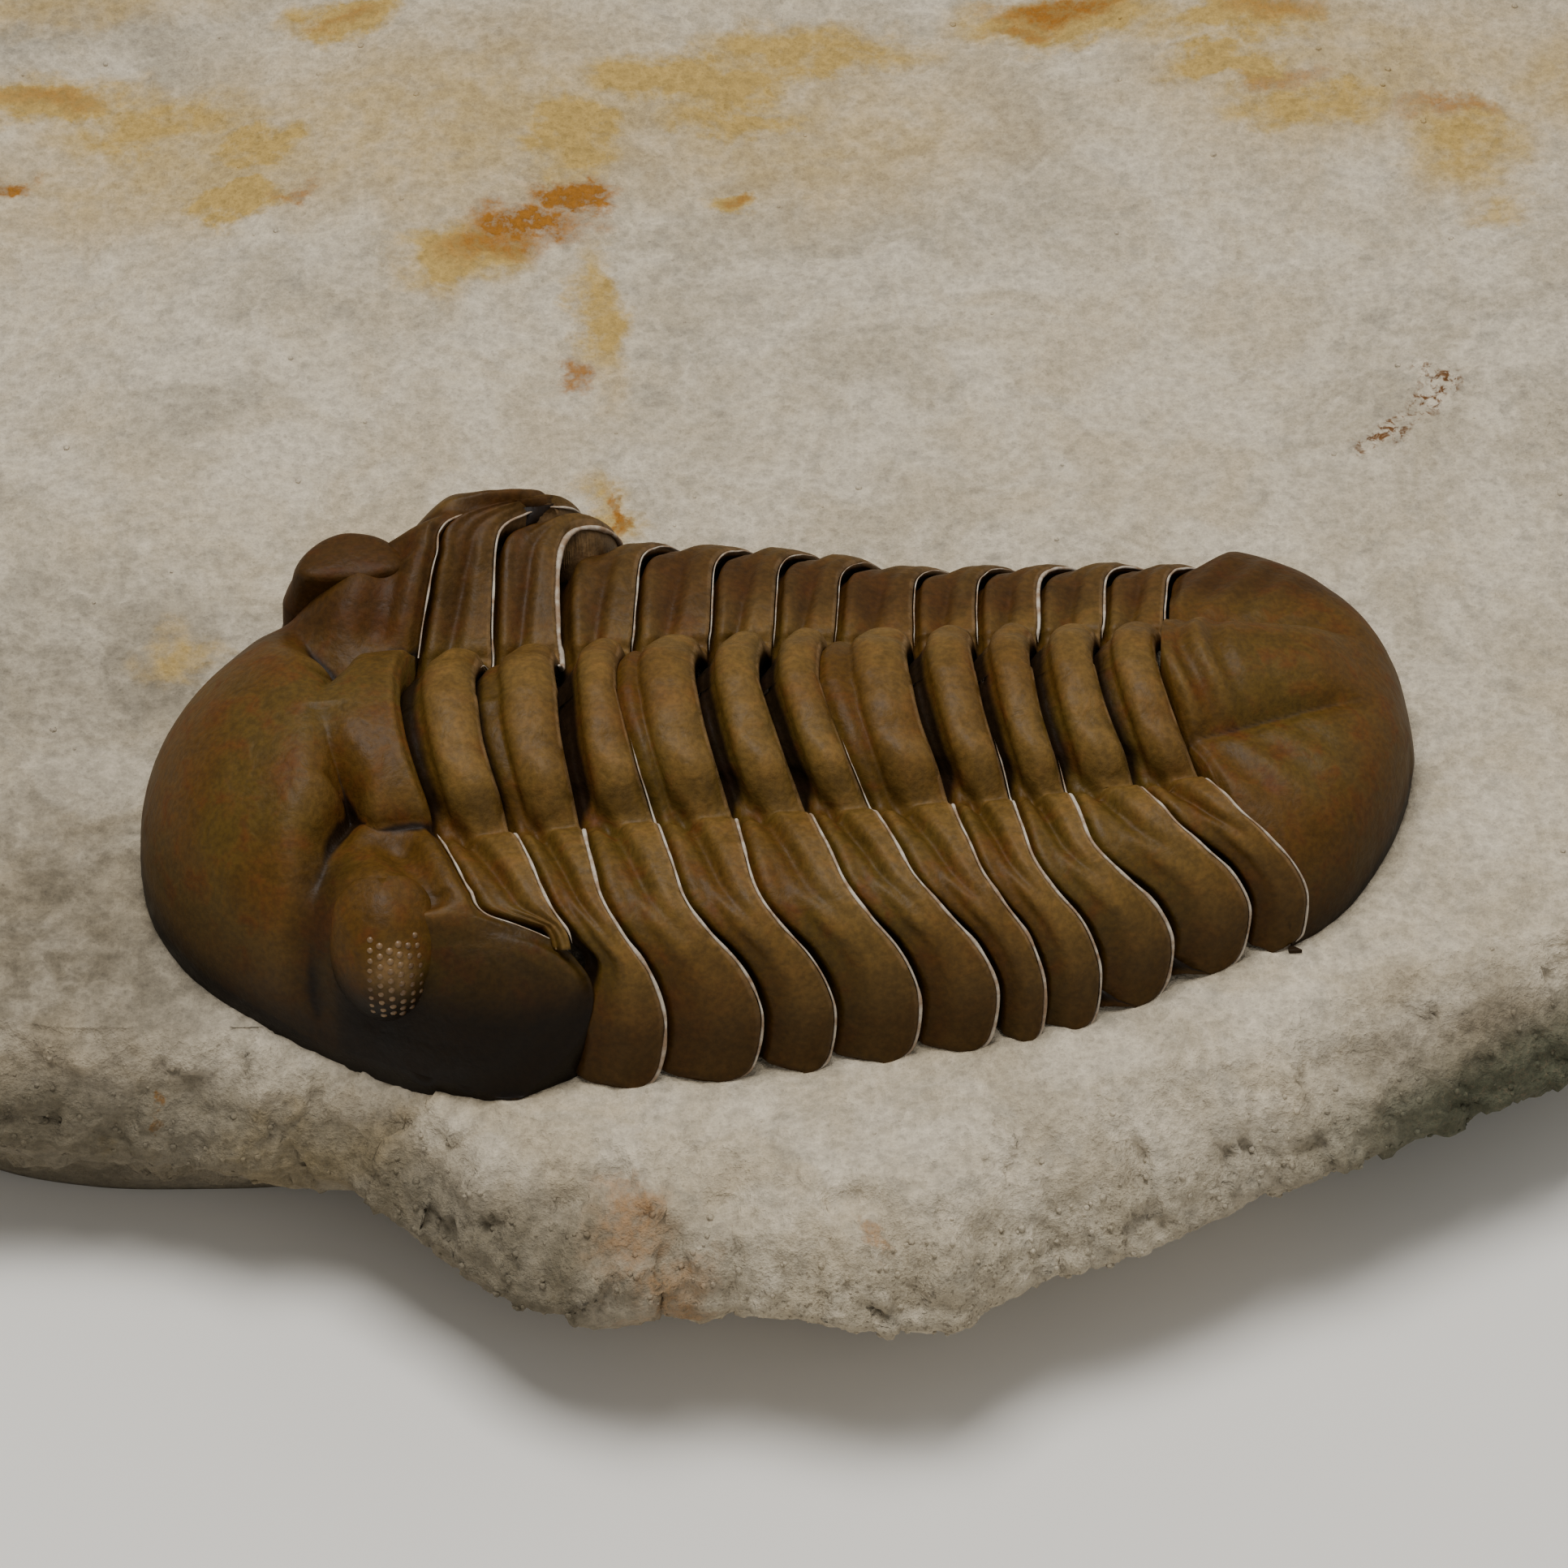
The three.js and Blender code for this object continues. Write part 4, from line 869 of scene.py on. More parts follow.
def tail_height(x, y):
    """Height of the tail: the vault, the axis with its rings and the ribs."""
    d = tail_side(x, y)
    w = np.abs(d)
    along = np.clip((x - TAIL_X) / TAIL_LONG, 0, 1)
    rho = np.clip((x - 18) / (TAIL_END + 0.3 - 18), 0, 1)
    across = np.minimum(1, tail_across(x, y) / np.maximum(0.2, curve(TAIL_HALF, x)))
    edge = ground_z(x) + 0.25
    crown = -0.02 - 0.62 * along
    z = edge + (crown - edge) * (1 - across**4.0) ** 0.60 * (1 - rho**10) ** 0.60
    half = mix(2.25, 0.90, along)
    height = mix(1.20, 0.45, along) * (1 - smooth(0.62, 0.90, along))
    furrow = np.where(d < 0, 0.10, 0.06) * (1 - smooth(0.70, 0.95, along))
    furrow = furrow * (0.3 + 0.7 * smooth(0.05, 0.30, along))
    z = z - furrow * hill(w, half + 0.02, np.where(d < 0, 0.26, 0.32))
    sway = x - 0.12 * w * w + 0.16 * np.sin(1.3 * d + 0.6)
    ring = np.cos(2 * math.pi * (sway - 19.15) / (1.05 - 0.18 * along))
    strength = 0.13 * (1 - smooth(0.16, 0.40, along)) + 0.012 * (1 - smooth(0.4, 0.8, along))
    axis = height * np.maximum(0, 1 - (w / half) ** 2.5)
    axis = axis + strength * ring * np.maximum(0, 1 - (w / half) ** 6)
    bow = x - 19.25 - 0.86 * (w - half) + 0.05 * (w - half) ** 2
    rib = np.cos(2 * math.pi * bow / 1.15 + 0.5 * np.sin(0.9 * w))
    fade = (1 - smooth(0.60, 0.88, across)) * (1 - smooth(0.45, 0.85, along))
    flank = 0.050 * rib * smooth(0, 0.9, w - half) * fade
    z = z + np.where(w < half, axis, flank)
    z = z - 0.16 * (1 - smooth(0.0, 0.30, x - tail_front(y)))
    z = z - 0.30 * smooth(2.0, 4.5, d) * (1 - smooth(20.0, 24.0, x))
    return np.maximum(z, ground_z(x) + 0.1)


def tail_skin():
    """The tail over its plan, with closer columns at the sides."""
    spans = ((-5.78, -5.0, 30), (-4.95, 6.3, 150), (6.34, 7.15, 30))
    ys = np.concatenate([np.linspace(*span) for span in spans])
    t = np.linspace(0, 1, 130)
    shares = 1 - (0.5 * (1 - t) ** 1.8 + 0.5 * (1 - t))

    def relief(p):
        return 0.014 * ripple(p, 0.45, 41) + 0.008 * ripple(p, 0.2, 42) + 0.03 * ripple(p, 1.4, 43)

    # painted shade, darker low down at the foot
    def dark(p):
        return 0.6 * smooth(-2.4, -3.8, p[..., 2])

    return field_skin(ys, shares, tail_front, tail_rear, tail_height, 6, relief, dark)


# The slab
def slab_skin():
    """The slab in closed rows: over the mound, out to the outline and down the broken edge."""
    skin = Skin()
    turn = np.linspace(0, 1, 960, endpoint=False)
    foot_x, foot_y = mound_plan(1, turn)
    edge_x, edge_y = stone_outline(turn)
    # the bulges of the broken side stay near the outline, and the far side runs a little further
    near = smooth(-2, -11, edge_y)
    edge_y = edge_y + near * mix(1.25, 0.5, smooth(14, 22, edge_x)) + 1.2 * smooth(22, 31, edge_y)
    edge_x = edge_x + smooth(24, 31, edge_y) * mix(-1.0, 1.0, smooth(0, 20, edge_x))
    reach = np.hypot(edge_x - foot_x, edge_y - foot_y)
    edge = np.column_stack((edge_x, edge_y, 0 * edge_x))
    ragged = 0.30 * grit(edge, 4.0, 5, 51, 0.6) + 0.4 * facets(edge, 2.6, 57)
    ragged = ragged * mix(1.0, 0.5, smooth(22, 30, edge_y))
    rows = []
    for rho in (0.05, 0.5, 0.8, 0.93):
        x, y = mound_plan(rho, turn)
        rows.append(np.stack((x, y, mound_z(x, y)), axis=-1))
    shoulder = mix(SHOULDER, 1.3, smooth(20, 30, edge_y))
    rim = 1 - shoulder / reach
    for share in np.linspace(0, 1, 48):
        x, y = mix(foot_x, edge_x, rim * share), mix(foot_y, edge_y, rim * share)
        rows.append(np.stack((x, y, mix(ground_z(x), stone_top(x, y), smooth(0, 0.5, share))), axis=-1))
    for k in np.linspace(0.12, 7, 48):
        inset = curve(EDGE_INSET, k)
        inset = np.where(inset > 0, inset * shoulder, -inset * SHOULDER)
        share = 1 - (inset + ragged * smooth(0.3, 3.0, k) * (1 - smooth(5.5, 7, k))) / reach
        x, y = mix(foot_x, edge_x, share), mix(foot_y, edge_y, share)
        z = stone_top(x, y) + curve(EDGE_DROP, min(k, 6.0))
        z = mix(z, BASE_Z, np.clip(k - 6, 0, 1))
        rows.append(np.stack((x, y, z), axis=-1))
    made = [skin.add(row) for row in roughen(np.array(rows))]
    for a, b in zip(made[:-1], made[1:]):
        skin.band(a, b)
    skin.fan(skin.add(rows[0].mean(axis=0))[0], made[0])
    skin.fan(skin.add((10, 6, BASE_Z))[0], made[-1][::-1])
    return skin


def roughen(grid):
    """Gives the slab its grain: fine and smooth near the animal, broken and coarse at the edge."""
    along = np.roll(grid, -1, axis=1) - np.roll(grid, 1, axis=1)
    out = np.gradient(grid, axis=0)
    normal = np.cross(out, along)
    normal /= np.maximum(np.linalg.norm(normal, axis=-1, keepdims=True), 1e-9)
    normal *= np.where(normal[5:40, :, 2].mean() < 0, -1, 1)
    row = np.arange(len(grid))[:, None]
    far_out = smooth(6, 52, row)
    broken = smooth(46, 62, row) * (1 - smooth(96, 99, row))
    cover = smooth(2, 8, row) * (1 - smooth(95, 99, row))
    bump = 0.07 * grit(grid, 1.1, 4, 61, 0.62) * (0.6 + 0.7 * far_out)
    bump = bump + 0.10 * grit(grid, 5.0, 2, 66, 0.5) * far_out
    bump = bump + 0.13 * grit(grid * (1, 1, 2.2), 2.2, 5, 71, 0.62) * broken
    bump = bump + (0.55 * facets(grid, 1.5, 77) + 0.16 * facets(grid, 0.6, 78)) * broken
    bump = bump - 0.10 * np.maximum(0, ripple(grid, 0.5, 81) - 0.5) * far_out
    return grid + normal * (bump * cover)[..., None]


# Node trees
class Graph:
    """Adds nodes to a tree, each fed by sockets or plain values."""

    def __init__(self, tree):
        self.tree = tree

    def node(self, kind, settings=None, inputs=None):
        """A node of a kind, with its settings and with its inputs fed."""
        made = self.tree.nodes.new(kind)
        for name, value in (settings or {}).items():
            setattr(made, name, value)
        for name, value in (inputs or {}).items():
            self.feed(made.inputs[name], value)
        return made

    def feed(self, socket, value):
        if isinstance(value, bpy.types.NodeSocket):
            self.tree.links.new(value, socket)
        elif value is not None:
            socket.default_value = value

    def math(self, operation, a, b=None):
        return self.node("ShaderNodeMath", {"operation": operation}, {0: a, 1: b}).outputs[0]

    def times(self, a, b):
        return self.math("MULTIPLY", a, b)

    def vector(self, operation, a, b):
        """A sum, difference or product of two vectors, or the distance between them."""
        made = self.node("ShaderNodeVectorMath", {"operation": operation}, {0: a, 1: b})
        return made.outputs["Value" if operation == "DISTANCE" else "Vector"]

    def spread(self, value, low, high, to_low=0.0, to_high=1.0):
        """A soft step of a value between two levels."""
        settings = {"interpolation_type": "SMOOTHSTEP"}
        inputs = {"Value": value, "From Min": low, "From Max": high, "To Min": to_low, "To Max": to_high}
        return self.node("ShaderNodeMapRange", settings, inputs).outputs["Result"]

    def along(self, place, axis, start, end, to_low=0.0, to_high=1.0):
        """A value that changes between two levels of an axis of the animal."""
        level = self.node("ShaderNodeSeparateXYZ", None, {"Vector": place}).outputs[axis]
        low, high = ((BODY_AT["XYZ".index(axis)] + at) * MM for at in (start, end))
        return self.spread(level, low, high, to_low, to_high)

    def blend(self, share, a, b, how="MIX"):
        made = self.node("ShaderNodeMix", {"data_type": "RGBA", "blend_type": how})
        for index, value in ((0, share), (6, a), (7, b)):
            self.feed(made.inputs[index], value)
        return made.outputs[2]

    def noise(self, place, size, detail=3.0, rough=0.55, twist=0.0):
        """Noise with lumps of a size in millimetres."""
        inputs = {"Vector": place, "Scale": 1 / MM / size, "Detail": detail, "Roughness": rough}
        inputs["Distortion"] = twist
        return self.node("ShaderNodeTexNoise", None, inputs).outputs["Fac"]

    def attribute(self, name):
        return self.node("ShaderNodeAttribute", {"attribute_name": name}).outputs["Fac"]

    def named(self, name):
        settings = {"data_type": "FLOAT"}
        return self.node("GeometryNodeInputNamedAttribute", settings, {"Name": name}).outputs[0]

    def bump(self, height, distance, strength=1.0, normal=None):
        inputs = {"Height": height, "Distance": distance * MM, "Strength": strength, "Normal": normal}
        return self.node("ShaderNodeBump", None, inputs).outputs["Normal"]


def new_material(name):
    """An empty material with its shader, and the place on the object to draw patterns by."""
    material = bpy.data.materials.new(name)
    material.use_nodes = True
    tree = material.node_tree
    tree.nodes.clear()
    graph = Graph(tree)
    shader = graph.node("ShaderNodeBsdfPrincipled")
    graph.node("ShaderNodeOutputMaterial", None, {"Surface": shader.outputs["BSDF"]})
    place = graph.node("ShaderNodeTexCoord").outputs["Object"]
    return material, graph, shader, place


def linear(red, green, blue):
    """An sRGB colour of 0 to 255 as the linear colour that a shader takes."""
    values = []
    for value in (red, green, blue):
        value /= 255
        values.append(value / 12.92 if value <= 0.04045 else ((value + 0.055) / 1.055) ** 2.4)
    return (*values, 1.0)


def body_point(x, y, z=0.0):
    """A point of the animal's coordinates in metres of the part's frame."""
    return tuple((np.array((x, y, z)) + BODY_AT) * MM)


def exoskeleton_material(values):
    """Brown calcite: painted highlight on crests, painted shade with dirt in the grooves, painted shade
    by the eyes, at the feet and on the far side, darker low down.
    """
    material, graph, shader, place = new_material("exoskeleton_calcite")
    rise, edge, painted_shade = graph.attribute("rise"), graph.attribute("edge"), graph.attribute("dark")
    broad = graph.noise(place, 3.2, 2.0, 0.5)
    patchy = graph.noise(place, 0.75, 4.0, 0.62, 0.4)
    fine = graph.noise(place, 0.16, 3.0, 0.6)
    color = graph.blend(graph.spread(broad, 0.38, 0.64), values.shell_brown, values.shell_olive)
    color = graph.blend(graph.spread(patchy, 0.46, 0.70, 0.0, 0.85), color, values.shell_rust)
    # the far side turns to a rust tone here, and is darkened as painted shade below
    far = graph.along(place, "Y", 2.6, 4.4, 0.0, 0.55)
    color = graph.blend(far, color, values.shell_rust)
    # painted highlight: crests and the near eye are lighter by their rise value
    crest_highlight = graph.spread(rise, 0.60, 1.0, 0.0, 0.75)
    crest_highlight = graph.times(crest_highlight, graph.spread(broad, 0.30, 0.60, 0.55, 1.0))
    color = graph.blend(crest_highlight, color, values.shell_crest_highlight)
    # pale rim of a plate, and the painted highlight that the near eye carries in its edge value
    pale = graph.times(graph.spread(edge, 0.2, 1.0, 0.0, 0.42), graph.spread(patchy, 0.30, 0.55))
    color = graph.blend(pale, color, values.shell_rim_and_highlight)
    low = graph.along(place, "Z", -0.4, -3.2, 0.0, 0.75)
    low = graph.times(low, graph.spread(patchy, 0.2, 0.6, 0.7, 1.0))
    color = graph.blend(low, color, values.shell_umber)
    # painted shade beside and under the eyes, in the head's creases and at the feet of the shields
    color = graph.blend(painted_shade, color, values.shell_painted_shade)
    # painted shade with dirt in the grooves, and painted shade under the plates
    color = graph.blend(graph.spread(rise, 0.45, 0.15, 0.0, 0.9), color, values.shell_groove_shade_and_dirt)
    # painted shade: the far side darker
    color = tinted(graph, color, graph.spread(far, 0.0, 0.55, 1.0, 0.66))
    color = tinted(graph, color, graph.spread(patchy, 0.25, 0.75, 0.78, 1.18))
    color = tinted(graph, color, graph.spread(fine, 0.3, 0.7, 0.80, 1.16))
    graph.feed(shader.inputs["Base Color"], color)
    graph.feed(shader.inputs["Roughness"], graph.spread(patchy, 0.3, 0.75, 0.46, 0.60))
    shader.inputs["Specular IOR Level"].default_value = 0.14
    inputs = {"Vector": place, "Scale": 6200.0}
    cells = graph.node("ShaderNodeTexVoronoi", {"feature": "SMOOTH_F1"}, inputs)
    pustules = graph.spread(cells.outputs["Distance"], 0.5, 0.1)
    relief = graph.bump(pustules, 0.008, 0.4)
    relief = graph.bump(fine, 0.020, 0.6, relief)
    relief = graph.bump(patchy, 0.07, 0.6, relief)
    graph.feed(shader.inputs["Normal"], relief)
    return material


def tinted(graph, color, shade):
    """The colour made lighter or darker by a number."""
    gray = graph.node("ShaderNodeCombineColor", None, {0: shade, 1: shade, 2: shade}).outputs[0]
    return graph.blend(1.0, color, gray, "MULTIPLY")


def limestone_material(values):
    """Pale stone with grey mottling, ochre stains and dark specks, with painted shade on the left and on
    the broken edge.
    """
    material, graph, shader, place = new_material("pale_limestone")
    broad = graph.noise(place, 9.0, 3.0, 0.55)
    cloudy = graph.noise(place, 2.6, 5.0, 0.65, 0.6)
    blotchy = graph.noise(place, 0.9, 4.0, 0.6, 0.3)
    grain = graph.noise(place, 0.30, 4.0, 0.7)
    speck = graph.noise(place, 0.12, 2.0, 0.6)
    twisted = twisted_place(graph, place)
    color = graph.blend(graph.spread(cloudy, 0.34, 0.66), values.rock_pale, values.rock_beige)
    grey = graph.times(graph.spread(broad, 0.40, 0.62), graph.along(place, "X", 1.0, -9.0, 0.35, 1.0))
    grey = graph.times(grey, graph.spread(cloudy, 0.38, 0.60, 0.2, 0.9))
    color = graph.blend(grey, color, values.rock_grey)
    mottle = graph.spread(blotchy, 0.50, 0.72, 0.0, 0.50)
    mottle = graph.times(mottle, graph.spread(broad, 0.3, 0.6, 0.4, 1.0))
    color = graph.blend(mottle, color, values.rock_grey)
    # painted shade from the darker patches, then the ochre washes and the iron stains
    for spots, gaps, strength, tone in (
            (SHADES, graph.spread(blotchy, 0.30, 0.65, 0.55, 1.0), 1.0, values.rock_shade),
            (WASHES, graph.spread(blotchy, 0.25, 0.60, 0.6, 1.0), 1.7, values.rock_wash),
            (STAINS, graph.spread(grain, 0.30, 0.60, 0.4, 1.0), 1.5, values.rock_ochre)):
        share = graph.times(graph.times(spot_mask(graph, twisted, spots), gaps), strength)
        color = graph.blend(graph.math("MINIMUM", share, 1.0), color, tone)
    color = graph.blend(crack_mask(graph, place, twisted), color, values.rock_crack)
    # painted shade on the steep near left side
    steep = graph.along(place, "Z", -4.6, -6.0)
    near_left_shade = graph.times(steep, graph.along(place, "X", 6.0, 0.0, 0.0, 0.6))
    color = graph.blend(near_left_shade, color, values.rock_shade)
    # a greenish tone with painted shade on the steep right side
    right = graph.times(steep, graph.along(place, "X", 20.0, 25.0, 0.2, 1.0))
    color = graph.blend(graph.times(right, 0.9), color, values.rock_green_and_shade)
    dark = graph.spread(speck, 0.52, 0.68, 0.0, 0.75)
    dark = graph.times(dark, graph.spread(cloudy, 0.35, 0.6, 0.3, 1.0))
    dark = graph.times(dark, graph.along(place, "Z", -4.6, -6.2, 0.35, 1.0))
    color = graph.blend(dark, color, values.rock_shade)
    color = tinted(graph, color, graph.spread(grain, 0.25, 0.75, 0.72, 1.16))
    color = tinted(graph, color, graph.spread(speck, 0.30, 0.70, 0.88, 1.08))
    graph.feed(shader.inputs["Base Color"], color)
    shader.inputs["Roughness"].default_value = 0.92
    shader.inputs["Specular IOR Level"].default_value = 0.25
    relief = graph.bump(speck, 0.05, 0.6)
    relief = graph.bump(grain, 0.16, 0.9, relief)
    graph.feed(shader.inputs["Normal"], relief)
    return material


def twisted_place(graph, place):
    """The place pushed about by noise, so that a spot gets a ragged edge."""
    inputs = {"Vector": place, "Scale": 420.0, "Detail": 5.0, "Roughness": 0.68}
    push = graph.node("ShaderNodeTexNoise", None, inputs).outputs["Color"]
    push = graph.vector("SUBTRACT", push, (0.5, 0.5, 0.5))
    return graph.vector("ADD", place, graph.vector("MULTIPLY", push, (0.0036, 0.0036, 0.0036)))


def spot_mask(graph, twisted, spots):
    """Where the slab is stained: long soft spots, each at its own place."""
    total = None
    for x, y, length, width, strength in spots:
        shrink = (1 / length, 1 / width, 0.1)
        centre = tuple(c * k for c, k in zip(body_point(x, y - SPOT_DROP, SPOT_Z), shrink))
        apart = graph.vector("DISTANCE", graph.vector("MULTIPLY", twisted, shrink), centre)
        spot = graph.spread(apart, 0.0016, 0.0003, 0.0, strength)
        total = spot if total is None else graph.math("MAXIMUM", total, spot)
    return total


def crack_mask(graph, place, twisted):
    """A short brown crack: a string of ragged specks, whatever the height of the stone."""
    shrink = (1.0, 1.0, 0.15)
    flat = graph.vector("MULTIPLY", twisted, shrink)
    total = None
    for x, y, wide in CRACK:
        spot = np.array(body_point(x, y, CRACK_Z)) * shrink
        distance = graph.vector("DISTANCE", flat, tuple(spot))
        speck = graph.spread(distance, wide * 0.0022, wide * 0.0006, 0.0, 1.0)
        total = speck if total is None else graph.math("MAXIMUM", total, speck)
    broken = graph.spread(graph.noise(place, 0.28, 3.0, 0.7, 0.6), 0.46, 0.62)
    return graph.times(total, broken)


def seam_material(values):
    material, graph, shader, place = new_material("seam_calcite")
    cloudy = graph.noise(place, 0.5, 3.0, 0.6)
    color = graph.blend(graph.spread(cloudy, 0.35, 0.65), values.seam_white, values.seam_tan)
    graph.feed(shader.inputs["Base Color"], color)
    shader.inputs["Roughness"].default_value = 0.8
    graph.feed(shader.inputs["Normal"], graph.bump(graph.noise(place, 0.12, 3.0), 0.02, 0.6))
    return material


def lens_material(values):
    material, graph, shader, place = new_material("eye_lens_calcite")
    tone = graph.noise(place, 0.6, 2.0, 0.5)
    color = graph.blend(graph.spread(tone, 0.35, 0.65), values.lens_pale, values.lens_tan)
    graph.feed(shader.inputs["Base Color"], color)
    shader.inputs["Roughness"].default_value = 0.42
    return material


# Geometry Nodes
def new_tree(name, sockets):
    """A tree for geometry with named inputs."""
    tree = bpy.data.node_groups.new(name, "GeometryNodeTree")
    tree.interface.new_socket("Geometry", in_out="OUTPUT", socket_type="NodeSocketGeometry")
    tree.interface.new_socket("Geometry", in_out="INPUT", socket_type="NodeSocketGeometry")
    for label, kind in sockets:
        tree.interface.new_socket(label, in_out="INPUT", socket_type=kind)
    graph = Graph(tree)
    return tree, graph, graph.node("NodeGroupInput"), graph.node("NodeGroupOutput")


def finish_tree(graph, source, end, geometry):
    """Ends a tree: makes instances real, smooth and of the material."""
    realized = graph.node("GeometryNodeRealizeInstances", None, {"Geometry": geometry}).outputs[0]
    smoothed = graph.node("GeometryNodeSetShadeSmooth", None, {"Geometry": realized}).outputs[0]
    inputs = {"Geometry": smoothed, "Material": source.outputs["Material"]}
    graph.feed(end.inputs["Geometry"], graph.node("GeometryNodeSetMaterial", None, inputs).outputs[0])


def seam_tree():
    """A filling of round section along each line, as wide as the line's own width value says."""
    sockets = (
        ("Width", "NodeSocketFloat"), ("Sides", "NodeSocketInt"), ("Material", "NodeSocketMaterial"),
    )
    tree, graph, source, end = new_tree("seam_filling", sockets)
    line = graph.node("GeometryNodeMeshToCurve", None, {"Mesh": source.outputs["Geometry"]}).outputs[0]
    radius = graph.times(graph.named("width"), source.outputs["Width"])
    inputs = {"Resolution": source.outputs["Sides"], "Radius": 1.0}
    circle = graph.node("GeometryNodeCurvePrimitiveCircle", None, inputs).outputs[0]
    inputs = {"Curve": line, "Profile Curve": circle, "Scale": radius, "Fill Caps": True}
    finish_tree(graph, source, end, graph.node("GeometryNodeCurveToMesh", None, inputs).outputs[0])
    return tree


def lens_tree():
    """One domed lens on each point, as large as the point's own size value says."""
    sockets = (("Radius", "NodeSocketFloat"), ("Material", "NodeSocketMaterial"))
    tree, graph, source, end = new_tree("eye_lenses", sockets)
    scale = graph.times(graph.named("size"), source.outputs["Radius"])
    dome = graph.node("GeometryNodeMeshIcoSphere", None, {"Radius": 1.0, "Subdivisions": 2}).outputs[0]
    inputs = {"Points": source.outputs["Geometry"], "Instance": dome, "Scale": scale}
    finish_tree(graph, source, end, graph.node("GeometryNodeInstanceOnPoints", None, inputs).outputs[0])
    return tree


def grain_tree(name, detail):
    """Small lumps strewn over a surface, by its own density value."""
    sockets = [(label, "NodeSocketFloat") for label in ("Density", "Smallest", "Largest", "Flatness")]
    sockets += [("Seed", "NodeSocketInt"), ("Material", "NodeSocketMaterial")]
    tree, graph, source, end = new_tree(name, sockets)
    density = graph.times(graph.named("density"), source.outputs["Density"])
    inputs = {"Mesh": source.outputs["Geometry"], "Density": density, "Seed": source.outputs["Seed"]}
    spots = graph.node("GeometryNodeDistributePointsOnFaces", None, inputs)
    inputs = {"Radius": 1.0, "Subdivisions": detail}
    lump = graph.node("GeometryNodeMeshIcoSphere", None, inputs).outputs[0]
    inputs = {2: source.outputs["Smallest"], 3: source.outputs["Largest"], "Seed": GRAIN_SIZE_SEED}
    size = graph.node("FunctionNodeRandomValue", {"data_type": "FLOAT"}, inputs).outputs[1]
    flat = graph.times(size, source.outputs["Flatness"])
    scale = graph.node("ShaderNodeCombineXYZ", None, {0: size, 1: size, 2: flat}).outputs[0]
    inputs = {"Points": spots.outputs["Points"], "Rotation": spots.outputs["Rotation"]}
    inputs.update({"Instance": lump, "Scale": scale})
    finish_tree(graph, source, end, graph.node("GeometryNodeInstanceOnPoints", None, inputs).outputs[0])
    return tree


def grown(name, base, tree, **inputs):
    """Runs a tree on a base object, keeps the result as a plain mesh and drops the base."""
    modifier = base.modifiers.new(name, "NODES")
    modifier.node_group = tree
    sockets = {item.name: item.identifier for item in tree.interface.items_tree if item.in_out == "INPUT"}
    for label, value in inputs.items():
        modifier[sockets[label]] = value
    base.update_tag()
    graph = bpy.context.evaluated_depsgraph_get()
    mesh = bpy.data.meshes.new_from_object(base.evaluated_get(graph))
    mesh.name = name
    base.modifiers.remove(modifier)
    old = base.data
    bpy.data.objects.remove(base)
    bpy.data.meshes.remove(old)
    obj = bpy.data.objects.new(name, mesh)
    bpy.context.collection.objects.link(obj)
    return obj


def line_base(name, lines):
    """Loose lines with a width value at each point, for the seam filling to follow."""
    points, edges, widths = [], [], []
    for line, width in lines:
        first = len(points)
        points.extend((line + BODY_AT) * MM)
        edges.extend((k, k + 1) for k in range(first, first + len(line) - 1))
        widths.extend(width)
    return point_base(name, points, edges, {"width": widths})


def point_base(name, points, edges, layers):
    """An object of loose points and edges with named values, for a tree to work on."""
    mesh = bpy.data.meshes.new(name)
    mesh.from_pydata([tuple(p) for p in points], edges, [])
    for label, values in layers.items():
        layer = mesh.attributes.new(label, "FLOAT", "POINT")
        layer.data.foreach_set("value", np.asarray(values, np.float32))
    obj = bpy.data.objects.new(name, mesh)
    bpy.context.collection.objects.link(obj)
    return obj


# Settings
def color_setting(label, about, value):
    return FloatVectorProperty(
        name=label, description=about, subtype="COLOR", size=4, min=0, max=1, default=value)


def length_setting(label, about, value):
    return FloatProperty(name=label, description=about, unit="LENGTH", precision=5, min=0, default=value)


